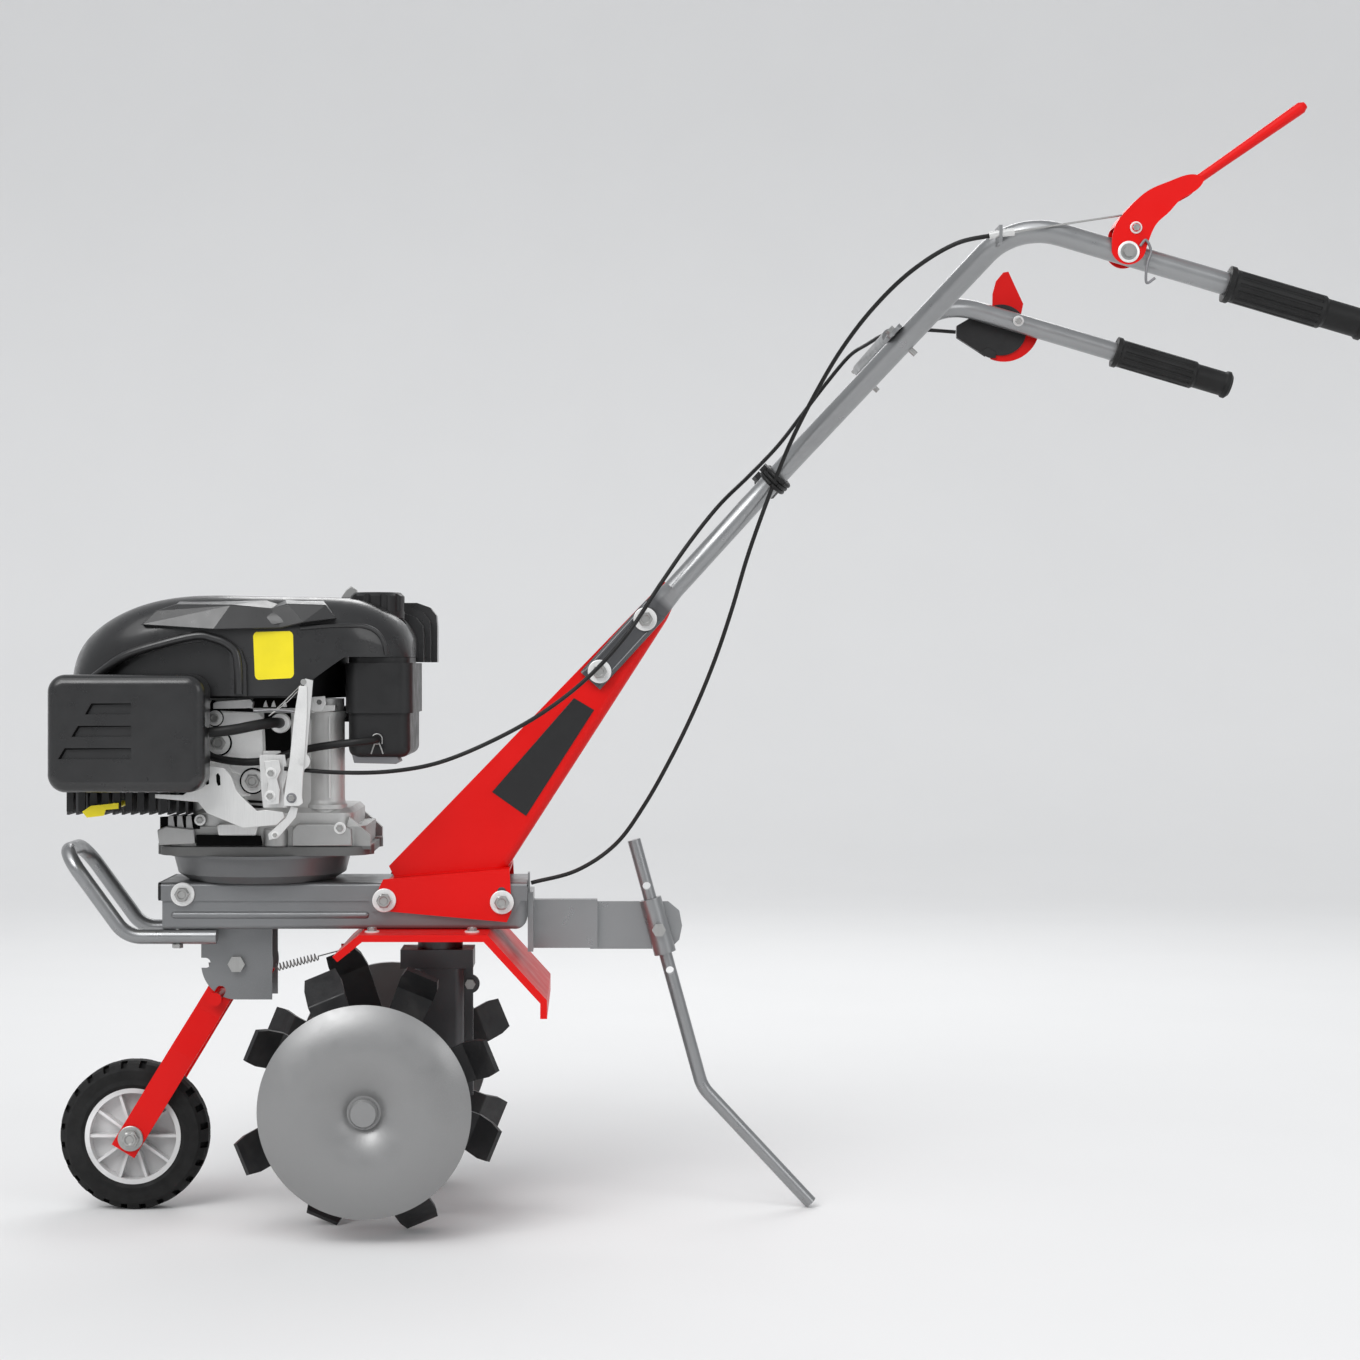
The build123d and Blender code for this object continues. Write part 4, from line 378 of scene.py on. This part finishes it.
def ring_faces(rows, steps, hollow=False):
    """Faces over rows of points round a line; both ends are closed, or a hollow form's last row meets its first."""
    faces = []
    for row in range(rows - 1):
        for k in range(steps):
            a, b = row * steps + k, row * steps + (k + 1) % steps
            faces.append([a, b, b + steps, a + steps])
    last = (rows - 1) * steps
    if hollow:
        return faces + [[last + k, last + (k + 1) % steps, (k + 1) % steps, k] for k in range(steps)]
    return faces + [list(range(steps - 1, -1, -1)), [last + k for k in range(steps)]]


def lathe(name, profile, centre, axis, look, body=CHASSIS, steps=40, hollow=False):
    """Turned piece: profile of (radius, height) along axis from centre."""
    turn = Vector(axis).to_track_quat("Z", "Y").to_matrix()
    centre = Vector(centre)
    points = []
    for r, h in profile:
        for k in range(steps):
            a = 2 * math.pi * k / steps
            points.append(centre + turn @ Vector((r * math.cos(a), r * math.sin(a), h)))
    made = piece(name, points, ring_faces(len(profile), steps, hollow), look)
    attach(made, body)
    return made


# Height and radius of a bolt head's rows in shares of its washer's radius, and whether the row is a hexagon
BOLT_ROWS = [(0.0, 1.0, False), (0.16, 1.0, False), (0.2, 0.94, False), (0.2, 0.72, False), (0.2, 0.56, True),
             (0.62, 0.56, True), (0.7, 0.5, False), (0.7, 0.38, False), (0.62, 0.3, False)]
WASHER_ROWS, BOLT_STEPS = 4, 36


def bolt(name, centre, r, body=CHASSIS, axis=LEFT, look=None):
    """Bolt head on its bright washer: a hexagon with a turned crown and a dished middle."""
    turn = Vector(axis).to_track_quat("Z", "Y").to_matrix()
    centre = Vector(centre)
    points = []
    for high, wide, hexed in BOLT_ROWS:
        for k in range(BOLT_STEPS):
            a = 2 * math.pi * k / BOLT_STEPS
            reach = wide * r / math.cos((a % (math.pi / 3)) - math.pi / 6) if hexed else wide * r
            points.append(centre + turn @ Vector((reach * math.cos(a), reach * math.sin(a), high * r)))
    made = piece(name, points, ring_faces(len(BOLT_ROWS), BOLT_STEPS), look or WHITE_ZINC, sharp=25)
    made.data.materials.append(ZINC)
    under = (len(BOLT_ROWS) - 1) * BOLT_STEPS
    for face in made.data.polygons[WASHER_ROWS * BOLT_STEPS:]:
        face.material_index = 1
    made.data.polygons[under].material_index = 0
    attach(made, body)
    return made


def curve_points(points, per=8):
    """Smooth line through the points."""
    spots = [Vector(p) for p in points]
    spots = [2 * spots[0] - spots[1]] + spots + [2 * spots[-1] - spots[-2]]
    line = []
    for a, b, c, d in zip(spots, spots[1:], spots[2:], spots[3:]):
        for k in range(per):
            t = k / per
            line.append(0.5 * (2 * b + (c - a) * t + (2 * a - 5 * b + 4 * c - d) * t * t
                               + (3 * b - a - 3 * c + d) * t ** 3))
    return line + [spots[-2]]


def tube(name, route, r, look, body=CHASSIS, steps=14, per=8):
    """Round wire, hose or cable along a route, with closed ends; body None leaves it unplaced."""
    line = curve_points(route, per)
    side = (line[1] - line[0]).orthogonal().normalized()
    points = []
    for k, spot in enumerate(line):
        ahead = (line[min(k + 1, len(line) - 1)] - line[max(k - 1, 0)]).normalized()
        side = (side - ahead * side.dot(ahead)).normalized()
        up = ahead.cross(side)
        for j in range(steps):
            a = 2 * math.pi * j / steps
            points.append(spot + r * (math.cos(a) * side + math.sin(a) * up))
    made = piece(name, points, ring_faces(len(line), steps), look, sharp=60)
    if body:
        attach(made, body)
    return made


# Limits for a ray that runs along an edge, and for one that meets the end of it
PARALLEL, SLACK = 1e-9, 1e-6


def ringed(name, pixels, hole, y_front, y_back, look, body=CHASSIS, steps=24):
    """Flat piece with a round hole; hole is (px, py, radius in pixels)."""
    hx, hy, hr = hole
    angles = [2 * math.pi * k / steps for k in range(steps)]
    inner = [(hx + hr * math.cos(a), hy + hr * math.sin(a)) for a in angles]
    outer = []
    n = len(pixels)
    for ix, iy in inner:
        dx, dy = ix - hx, iy - hy
        best = None
        for k in range(n):
            (ax, ay), (bx, by) = pixels[k], pixels[(k + 1) % n]
            det = dx * (ay - by) - dy * (ax - bx)
            if abs(det) < PARALLEL:
                continue
            t = ((ax - hx) * (ay - by) - (ay - hy) * (ax - bx)) / det
            u = (dx * (ay - hy) - dy * (ax - hx)) / det
            if t > 0 and -SLACK <= u <= 1 + SLACK and (best is None or t < best):
                best = t
        outer.append((hx + dx * best, hy + dy * best))
    flat = [at(px, py, y_front) for px, py in inner + outer]
    points = [Vector((spot.x, y, spot.z)) for y in (y_front, y_back) for spot in flat]
    fi, fo, bi, bo = 0, steps, 2 * steps, 3 * steps
    faces = []
    for k in range(steps):
        j = (k + 1) % steps
        faces += [[fi + k, fi + j, fo + j, fo + k], [bi + k, bo + k, bo + j, bi + j],
                  [fi + k, bi + k, bi + j, fi + j], [fo + k, fo + j, bo + j, bo + k]]
    made = soften(piece(name, points, faces, look), 0.0004)
    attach(made, body)
    return made


def skin_of(node):
    """Surface of a solid, to lay pieces on."""
    return BVHTree.FromPolygons([nodes[node].matrix_world @ v.co for v in nodes[node].data.vertices],
                                [list(f.vertices) for f in nodes[node].data.polygons])


# A place left of every solid, in millimetres
OUTSIDE = -400


def bead(name, places, node, r, look, body=CHASSIS):
    """Round rib half sunk in the left face of a solid, through places (X, Z) of the solids' source."""
    skin = skin_of(node)
    route = [skin.ray_cast(in_frame((x, OUTSIDE, z)), Vector((0, 1, 0)))[0] for x, z in places]
    return tube(name, route, r, look, body, per=6)


# How far a label's corners are cut back, as a share of its sides
CORNER_CUT = 0.03


def decal(name, corners, node, look, body, across=12, down=12, lift=0.0004):
    """Label laid on a solid: corners are pixels, clockwise from the upper left, and every point is dropped
    onto the surface along the line of sight."""
    skin = skin_of(node)
    (ax, ay), (bx, by), (cx, cy), (dx, dy) = corners
    top, under = [], []
    for i in range(down + 1):
        for j in range(across + 1):
            u, v = j / across, i / down
            if u in (0, 1) and v in (0, 1):
                u, v = abs(u - CORNER_CUT), abs(v - CORNER_CUT)
            px = (1 - v) * ((1 - u) * ax + u * bx) + v * ((1 - u) * dx + u * cx)
            py = (1 - v) * ((1 - u) * ay + u * by) + v * ((1 - u) * dy + u * cy)
            sight = (at(px, py, 0.0) - camera.location).normalized()
            hit = skin.ray_cast(camera.location, sight)
            top.append(hit[0] - sight * lift)
            under.append(hit[0] + sight * lift)
    n, row = len(top), across + 1
    faces = []
    for i in range(down):
        for j in range(across):
            k = i * row + j
            faces += [[k, k + 1, k + row + 1, k + row], [n + k, n + k + row, n + k + row + 1, n + k + 1]]
    rim = list(range(row)) + [i * row + across for i in range(1, down + 1)]
    rim += [down * row + j for j in range(across - 1, -1, -1)] + [i * row for i in range(down - 1, 0, -1)]
    faces += [[a, b, n + b, n + a] for a, b in zip(rim, rim[1:] + rim[:1])]
    made = piece(name, top + under, faces, look)
    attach(made, body)
    return made


def faceted(name, corners, faces, rim, back, look, body=CHASSIS, edge=0.001):
    """Raised form: corners are (pixel, pixel, depth), and its rim goes back into what carries it."""
    front = [at(*c) for c in corners]
    behind = [front[k] + Vector((0, back, 0)) for k in rim]
    first, n = len(front), len(rim)
    faces = [list(f) for f in faces]
    faces += [[rim[k], rim[(k + 1) % n], first + (k + 1) % n, first + k] for k in range(n)]
    faces.append([first + k for k in range(n)])
    made = soften(piece(name, front + behind, faces, look, sharp=1), edge)
    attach(made, body)
    return made


# Engine, left side. Depths of the crankcase's face, of the painted shade in its hollows, of its bolts, of raised and
# sunk pieces on it, of the shield plate, of the castings round the base, and of the governor's link, spring and plate

CASE_Y, HOLLOW_Y, CASE_BOLT_Y = -0.0735, -0.0728, -0.0745
RAISED_Y, SUNK_Y, CASE_BACK = -0.080, -0.071, -0.072
PLATE_FRONT = -0.1245
BASE_FRONT, BASE_BACK, BASE_SUNK = -0.0895, -0.078, -0.080
LINK_Y, SPRING_Y, GOVERNOR_FRONT, GOVERNOR_BACK = -0.127, -0.128, -0.1336, -0.1317

slab("case_face", [(207, 714), (213, 711), (258, 712), (263, 717), (263, 770), (250, 796), (207, 800)],
     CASE_Y, CASE_Y + 0.004, FACE, edge=0.0012)
slab("case_bar", [(213, 703), (217, 701), (250, 699), (253, 702), (252, 708), (213, 709)], -0.086, -0.070, PALE)
slab("case_rib", [(205, 757), (230, 758), (232, 760), (230, 762), (205, 762)], -0.079, SUNK_Y, FACE)
slab("case_step", [(228, 766), (240, 757), (258, 762), (264, 775), (246, 778), (232, 772)],
     RAISED_Y, CASE_BACK, FACE, edge=0.002)
slab("case_ledge", [(263, 751), (280, 751), (280, 757), (263, 757)], RAISED_Y, SUNK_Y, FACE)
# Painted shade: dark sheets over the crankcase's hollows and the gaps at its edges
for k, outline in enumerate(([(264, 713), (291, 713), (291, 752), (284, 764), (266, 758)],
                             [(201, 704), (206, 704), (206, 768), (201, 768)],
                             [(207, 710), (212, 700), (253, 709), (253, 712)],
                             [(253, 697), (297, 697), (297, 708), (253, 708)])):
    slab(f"case_hollow_shade_{k}", outline, HOLLOW_Y, SUNK_Y, SHADE, edge=0.0003)
for k, px in enumerate((264, 272, 283)):
    slab(f"case_tooth_{k}", [(px, 703), (px + 2, 700), (px + 4, 707), (px - 1, 707)],
         -0.0738, CASE_BACK, PALE, edge=0.0003)
# Painted shade: dark sheets in the two slots under the crankcase's face
for k, (x0, x1, py) in enumerate(((247, 264, 800), (251, 264, 805))):
    slab(f"case_slot_shade_{k}", [(x0, py), (x1, py + 1), (x1, py + 3), (x0 + 3, py + 3)],
         CASE_BOLT_Y, CASE_BACK, SHADE, edge=0.0002)
# Each bolt gets a thin dark ring round its washer: a painted shadow round the head
for name, px, py, y, r in (("case_bolt_0", 219, 743, CASE_BOLT_Y, 0.0118),
                           ("case_bolt_1", 215, 718, CASE_BOLT_Y, 0.0080),
                           ("cover_bolt", 253, 781, -0.0805, 0.0120)):
    bolt(name, at(px, py, y), r)
    lathe(name + "_shadow_ring", [(1.12 * r, 0), (1.15 * r, 0.0003), (1.08 * r, 0.0006)], at(px, py, y), LEFT, SHADE)

slab("shield_plate", [(200, 770), (207, 766), (224, 768), (231, 776), (236, 790), (242, 797), (257, 811),
                      (266, 810), (283, 812), (285, 817), (277, 825), (243, 828), (207, 813), (198, 802),
                      (175, 800), (155, 798), (155, 794), (183, 795), (193, 788), (198, 783)],
     PLATE_FRONT, PLATE_FRONT + 0.0018, BRIGHT, edge=0.0004)
# Painted shade: dark sheets in the shield plate's two slots
for k, (px, py) in enumerate(((206.5, 779), (218, 780))):
    slab(f"shield_slot_shade_{k}", [(px - 2, py - 5), (px, py - 7), (px + 2, py - 4), (px + 2.5, py + 5),
                              (px, py + 6), (px - 1.5, py + 2)],
         PLATE_FRONT - 0.0003, PLATE_FRONT + 0.0005, SHADE, edge=0.0001)
BRACKET_FRONT = PLATE_FRONT - 0.003
slab("cable_bracket", [(264, 761), (279, 760), (281, 770), (277, 779), (280, 790), (279, 804), (266, 805),
                       (268, 784)], BRACKET_FRONT, PLATE_FRONT - 0.001, BRIGHT, edge=0.0004)
for k, (px, py) in enumerate(((271, 773), (270, 796))):
    bolt(f"bracket_screw_{k}", at(px, py, BRACKET_FRONT), 0.0056)
ringed("case_ear", [(311, 697), (325, 696), (326, 704), (322, 711), (311, 711)], (319, 702, 2.6),
       -0.093, -0.0905, BRIGHT)
slab("ear_foot", [(311, 705), (335, 705), (335, 711), (311, 713)], -0.0925, -0.060, ALLOY)
lathe("barrel_shell", [(0.0186, 0.4290), (0.0215, 0.4300), (0.0218, 0.4345), (0.0200, 0.4365), (0.0192, 0.4400),
                       (0.0190, 0.5230), (0.0210, 0.5265), (0.0210, 0.5310), (0.0186, 0.5320)],
      in_frame((-365.5, -60, 0)), UP, ALLOY)
# Painted highlight: a thin bright strip standing off the barrel's near side
slab("barrel_highlight", [(328.5, 715), (330.5, 715), (330.5, 798), (328.5, 798)], -0.0803, -0.074, BRIGHT, edge=0.0004)

slab("base_block", [(292, 830), (297, 824), (340, 824), (351, 829), (352, 846), (292, 846)],
     BASE_FRONT, BASE_BACK, ROUGH_ALLOY, edge=0.0014)
slab("base_ear", [(157, 830), (166, 826), (194, 829), (195, 844), (159, 845)],
     BASE_FRONT, BASE_BACK, ROUGH_ALLOY, edge=0.0014)
# Painted shade: a dark band in the gap along the base
slab("base_gap_shade", [(196, 835), (260, 836), (262, 846), (196, 846)], -0.0889, BASE_SUNK, SHADE, edge=0.0004)
slab("base_drum", [(216, 825), (220, 823), (254, 823), (258, 826), (256, 836), (218, 836)],
     -0.0893, BASE_SUNK, BRIGHT, edge=0.002)
slab("base_shadow", [(160, 817), (197, 815), (200, 829), (160, 829)], -0.0838, BASE_BACK, SHADE, edge=0.0004)
lathe("base_post", [(0.0118, 0), (0.0128, 0.001), (0.0128, 0.017), (0.0112, 0.0185)],
      at(276, 846, BASE_SUNK), UP, ROUGH_ALLOY)
for k in range(3):
    px = 168 + 9 * k
    slab(f"base_fin_{k}", [(px, 816), (px + 5, 815), (px + 7, 829), (px, 829)],
         -0.086, -0.05, ROUGH_ALLOY, edge=0.0005)
bolt("base_screw", at(200, 820, -0.0845), 0.0058)
bolt("base_bolt", at(340, 828, BASE_FRONT), 0.0062)

link_line = [at(254, 711, LINK_Y), at(275, 710, LINK_Y), at(298, 712, -0.1285)]
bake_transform(tube("governor_link", link_line, 0.0012, IRON, None))
spring_top, spring_foot = at(301, 685, SPRING_Y), at(269, 716, LINK_Y)
for k in range(2):
    spring = tube(f"governor_spring_{k}", [at(301 - 3 * k, 685 + 6 * k, SPRING_Y), at(286, 700 + 3 * k, -0.1275),
                                           spring_foot], 0.0005, ZINC, None)
    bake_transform(spring)
for k in range(2):
    lathe(f"governor_eye_{k}", [(0.0014, 0), (0.003, 0), (0.003, 0.0006), (0.0016, 0.0008)],
          at(303.5 - k, 682 + 12 * k, -0.1315), LEFT, ZINC, "governor")
slab("governor_foot", [(291, 806), (298, 808), (296, 817), (278, 838), (269, 840), (268, 834), (286, 818)],
     -0.1285, LINK_Y, BRIGHT, edge=0.0003)
bolt("governor_screw", at(275, 835, -0.1285), 0.0038)
slab("governor_plate", [(299, 686), (307, 686), (307, 716), (304, 764), (303, 772), (302, 797), (303, 803),
                        (299, 806), (284, 806), (284, 797), (287, 775), (289, 765), (294, 716)],
     GOVERNOR_FRONT, GOVERNOR_BACK, PALE, "governor", 0.0004)
bolt("governor_nut", at(291.5, 798, GOVERNOR_FRONT), 0.0052, "governor", look=IRON)

BREATHER_ROUTE = [(-477.2, -135, 511), (-452, -134.5, 514), (-432, -128, 518), (-416, -112, 520.5),
                  (-412, -92, 520), (-411.5, -72.3, 519.5)]
lathe("hose_socket", [(0.0062, 0), (0.0098, 0), (0.0104, 0.002), (0.0104, 0.010), (0.0096, 0.012), (0.0062, 0.012)],
      in_frame(BREATHER_ROUTE[-1]), LEFT, FACE)
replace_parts(tube("breather_pipe", [in_frame(p) for p in BREATHER_ROUTE], 0.0054, RUBBER), "breather_hose")
CLIP_X, CLIP_Y, CLIP_R, CLIP_WIRE = 377, -0.1015, 5, 0.0008
clip_angles = [math.radians(60 + 20 * k) for k in range(16)]
tube("fuel_clip", [at(CLIP_X + CLIP_R * math.cos(a), 739 + CLIP_R * math.sin(a), CLIP_Y) for a in clip_angles]
     + [at(382, 744, CLIP_Y)], CLIP_WIRE, ZINC)
for side in (-1, 1):
    tube(f"fuel_clip_leg_{side}", [at(CLIP_X + 2 * side, 743, CLIP_Y), at(CLIP_X + 4 * side, 748, CLIP_Y),
                                   at(CLIP_X + 6 * side, 754, CLIP_Y)], CLIP_WIRE, ZINC)
slab("lifting_eye", [(341, 598), (346, 590), (351, 586), (357, 590), (358, 598)], 0.010, 0.014, ZINC, edge=0.0008)
slab("tank_flange", [(352, 755), (397, 756), (400, 762), (396, 764), (354, 763)], -0.090, -0.05, IRON, edge=0.0006)

# Shroud: corners of the raised step on its left shoulder, the faces between them, and the rim in order

STEP_CORNERS = [(140.5, 624.6, -0.1205), (155.5, 611, -0.1190), (176, 604, -0.1150), (231.7, 604.8, -0.1245),
                (213, 629.3, -0.1330), (271.4, 608.5, -0.1205), (281, 628, -0.1265), (287, 603.8, -0.1235),
                (304, 622.3, -0.1315), (326, 604.8, -0.1185), (336, 618.2, -0.1230),
                (182, 598.6, -0.082), (285, 598, -0.086), (322, 598.6, -0.086)]
STEP_FACES = [(0, 1, 3), (1, 2, 3), (0, 3, 4), (4, 3, 5, 6), (6, 5, 7), (6, 7, 8), (8, 7, 9), (8, 9, 10),
              (2, 11, 3), (11, 12, 3), (3, 12, 5), (12, 7, 5), (12, 13, 9, 7)]
STEP_RIM = [0, 4, 6, 8, 10, 9, 13, 12, 11, 2, 1]
faceted("shroud_step", STEP_CORNERS, STEP_FACES, STEP_RIM, 0.02, COVER)
bead("shroud_rib", [(-602, 566), (-566, 589), (-525, 602), (-491, 609.5), (-475, 607), (-462, 602), (-452, 593),
                    (-449, 578), (-448.5, 562), (-448.5, 550)], "engine_shroud", 0.0046, COVER)
bead("shroud_fold", [(-386, 617.5), (-362, 619.5), (-338, 620.5), (-320, 619), (-308, 612), (-302, 601),
                     (-300, 591)], "engine_shroud", 0.0026, COVER)
lathe("blower_wall", [(0.0860, 0.5455), (0.0915, 0.5455), (0.0915, 0.5900), (0.0900, 0.5915), (0.0860, 0.5915)],
      in_frame((-440, 0, 0)), UP, PLASTIC, steps=64, hollow=True)

# Painted shade: dark strips on the upper and left walls of the three louvres in the filter cover

LOUVRE_END, LOUVRE_FRONT, LOUVRE_BACK = -551, -164.5, -0.1605
for k in range(3):
    x, z = -591 - 13.5 * k, 541 - 22.5 * k
    outline = [(x, z), (LOUVRE_END, z), (LOUVRE_END, z - 0.7), (x + 0.8, z - 1.5), (x - 4.8, z - 11),
               (x - 6.6, z - 11)]
    plate(f"louvre_shade_{k}", [in_frame((px, LOUVRE_FRONT, pz)) for px, pz in outline], LOUVRE_BACK, SHADE,
          edge=0.0002)

# Blank labels

decal("engine_label", [(253, 632), (293, 631), (294, 678), (255, 680)], "engine_shroud", YELLOW, CHASSIS)
slab("column_label", [(574, 698), (594, 710), (526, 816), (492, 792)], -0.0408, -0.0396, DARK, HANDLE, 0.0002)

# Handle fittings

FERRULE_Y, LEVER_Y, WIRE_R = -0.2743, -0.2752, 0.001
bolt("lever_rivet", in_frame((435, -273.7, 1000)), 0.0058, "clutch")
lathe("pivot_washer", [(0.0060, 0), (0.0104, 0), (0.0104, 0.0008), (0.0098, 0.0012), (0.0060, 0.0012)],
      in_frame((428, -273.65, 976.7)), LEFT, WHITE_ZINC, HANDLE)
tube("cable_ferrule", [at(989, 236, FERRULE_Y), at(1000, 233.5, FERRULE_Y), at(1014, 232, FERRULE_Y)],
     0.0036, BRIGHT, HANDLE)
wire_stop, wire_pin = in_frame((303.1, -275.2, 993.5)), in_frame((441, -266, 1016))
wire_line = [wire_stop.lerp(wire_pin, 0.974 * k / 12) for k in range(13)]
strand = tube("clutch_wire_strand", wire_line, WIRE_R, ZINC, None, steps=10, per=3)
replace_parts(strand, "clutch_wire")
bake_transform(strand)
eye_angles = [math.pi * k / 10 for k in range(21)]
tube("clutch_wire_eye", [wire_pin + Vector((0.0037 * math.cos(a), 0, 0.0037 * math.sin(a))) for a in eye_angles],
     WIRE_R, ZINC, "clutch", steps=10, per=2)
spring_line = [at(1140, 246, LEVER_Y), at(1146, 240, LEVER_Y), at(1151, 251, LEVER_Y), at(1148, 262, LEVER_Y),
               at(1146, 274, -0.2745), at(1147, 283, -0.2728), at(1155, 278, -0.2725)]
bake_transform(tube("lever_spring", spring_line, 0.0013, IRON, None))
bolt("throttle_screw", at(1018.4, 321, 0.2453), 0.0062, HANDLE, look=BRIGHT)
slab("housing_lip", [(980, 352.6), (985.4, 356.1), (988.5, 357.6), (992, 358.2), (996, 358), (996, 352),
                     (988, 347)], 0.2695, 0.2711, PLASTIC, HANDLE, 0.0004)

# Bolt heads on both sides, over the plain ones of the solids

SIDES = ((-1, "left"), (1, "right"))
BOLT_R, FENDER_BOLT_R, FENDER_BOLT_Y = 0.0124, 0.0076, 0.085
for name, (x, y, z), body in (("front_bolt", (-516, 60.0, 340), CHASSIS), ("tilt_bolt", (-305, 63.8, 334), CHASSIS),
                              ("slot_bolt", (-182, 63.8, 332), CHASSIS), ("strap_bolt_high", (-32, 47.5, 628), HANDLE),
                              ("strap_bolt_low", (-80, 47.5, 573), HANDLE)):
    for side, word in SIDES:
        bolt(f"{name}_{word}", in_frame((x, side * y, z)), BOLT_R, body, (0, side, 0))
fender_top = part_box("fender")[1][2]
for k, px in enumerate((372, 472)):
    spot = at(px, 930, -FENDER_BOLT_Y)
    for side, word in SIDES:
        bolt(f"fender_bolt_{k}_{word}", (spot.x, FENDER_BOLT_Y * side, fender_top), FENDER_BOLT_R, axis=UP)
bolt("wheel_axle_bolt", in_frame((-576, -30.1, 79)), 0.0134, "fork", look=ZINC)

# Cables: sleeves in place of the cables' solids, and rubber wraps round them on the handle

CLUTCH_ROUTE = [(301.9, -275, 993.3), (262, -270, 985), (222, -248, 962), (188, -216, 930), (160, -180, 893),
                (137, -140, 852), (117, -102, 810), (101, -74, 768), (86, -68, 727), (73, -62, 688),
                (58, -56, 636), (41, -50, 585), (20, -44, 533), (-5, -38, 481), (-33, -32, 431),
                (-63, -27, 390), (-104, -23, 362), (-152.4, -20, 348.6)]
THROTTLE_ROUTE = [(340.8, 274.5, 973), (306, 272, 975), (276, 249, 971), (250, 214, 962), (226, 176, 946),
                  (202, 138, 928), (174, 107, 895), (146, 76, 859), (114, 37, 818), (79, -10, 781), (46, -48, 748),
                  (14, -68, 708), (-18, -74, 662), (-52, -79, 611), (-92, -85, 567), (-138, -95, 531),
                  (-190, -106, 502), (-244, -115, 480), (-294, -121, 471), (-346, -125, 470), (-402, -125, 474)]
CABLE_R = 0.0022
WRAP_AT, WRAP_WAY = in_frame((104, -56, 774)), Vector((0.68, -0.2, 0.71)).normalized()
WRAP_STEP, WRAP_WIDE, WRAP_HIGH, WRAP_R = 0.0045, 0.0205, 0.0140, 0.0024
wrap_out = (Vector(LEFT) - WRAP_WAY * Vector(LEFT).dot(WRAP_WAY)).normalized()
wrap_up = WRAP_WAY.cross(wrap_out)
for k in range(3):
    centre = WRAP_AT + WRAP_WAY * (WRAP_STEP * (k - 1))
    turns = [2 * math.pi * j / 20 + 0.3 * k for j in range(21)]
    tube(f"cable_wrap_{k}", [centre + wrap_out * (WRAP_WIDE * math.cos(a)) + wrap_up * (WRAP_HIGH * math.sin(a))
                             for a in turns], WRAP_R, RUBBER, HANDLE, per=3)
for name, route, free in (("clutch_cable", CLUTCH_ROUTE, 13), ("throttle_cable", THROTTLE_ROUTE, 14)):
    sleeve = tube(name + "_sleeve", [in_frame(p) for p in route], CABLE_R, RUBBER, None)
    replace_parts(sleeve, name)
    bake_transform(sleeve)

# Floor and light


def plain(name, colour):
    p = Paint(name, colour, 0.85)
    p.tint(p.noise(3, 2), toned(colour, 0.99), 0.4, 0.7)
    return p.mat


def lamp(name, place, target, size, power):
    light = bpy.data.lights.new(name, "AREA")
    light.shape = "RECTANGLE"
    light.size, light.size_y = size
    light.energy = power
    made = bpy.data.objects.new(name, light)
    made.location = place
    made.rotation_euler = (Vector(target) - Vector(place)).to_track_quat("-Z", "Y").to_euler()
    bpy.context.scene.collection.objects.link(made)


def backdrop():
    """Pale floor that curves up into a wall behind the object."""
    front, depth, bend, high, wide, steps = -12.0, 3.5, 2.5, 9.0, 14.0, 24
    line = [(front, 0.0), (depth, 0.0)]
    for k in range(1, steps + 1):
        a = math.pi / 2 * k / steps
        line.append((depth + bend * math.sin(a), bend * (1 - math.cos(a))))
    line.append((depth + bend, high))
    points = [(x, y, z) for x in (-wide, wide) for y, z in line]
    n = len(line)
    faces = [[k, k + 1, n + k + 1, n + k] for k in range(n - 1)]
    return piece("floor", points, faces, plain("pale_floor", (0.78, 0.78, 0.78)))


backdrop()
world = bpy.data.worlds.new("studio")
world.use_nodes = True
ambient = world.node_tree.nodes["Background"].inputs
ambient["Color"].default_value = (0.9, 0.92, 0.95, 1)
ambient["Strength"].default_value = 0.50
bpy.context.scene.world = world
for name, place, target, size, power in (("key_light", (-1.6, -2.4, 2.6), (-0.1, 0, 0.5), (1.6, 1.6), 38),
                                         ("fill_light", (2.2, -2.2, 1.6), (0.1, 0, 0.5), (1.6, 1.6), 16),
                                         ("back_light", (0.2, 2.4, 2.4), (0, 0, 0.5), (2.2, 1.2), 26)):
    lamp(name, place, target, size, power)
sky = bpy.data.lights.new("even_light", "SUN")
sky.energy, sky.angle = 1.2, math.radians(60)
sky_lamp = bpy.data.objects.new("even_light", sky)
sky_lamp.rotation_euler = Vector((0.36, 0.53, -0.77)).to_track_quat("-Z", "Y").to_euler()
bpy.context.scene.collection.objects.link(sky_lamp)
bpy.context.scene.view_settings.view_transform = "Standard"
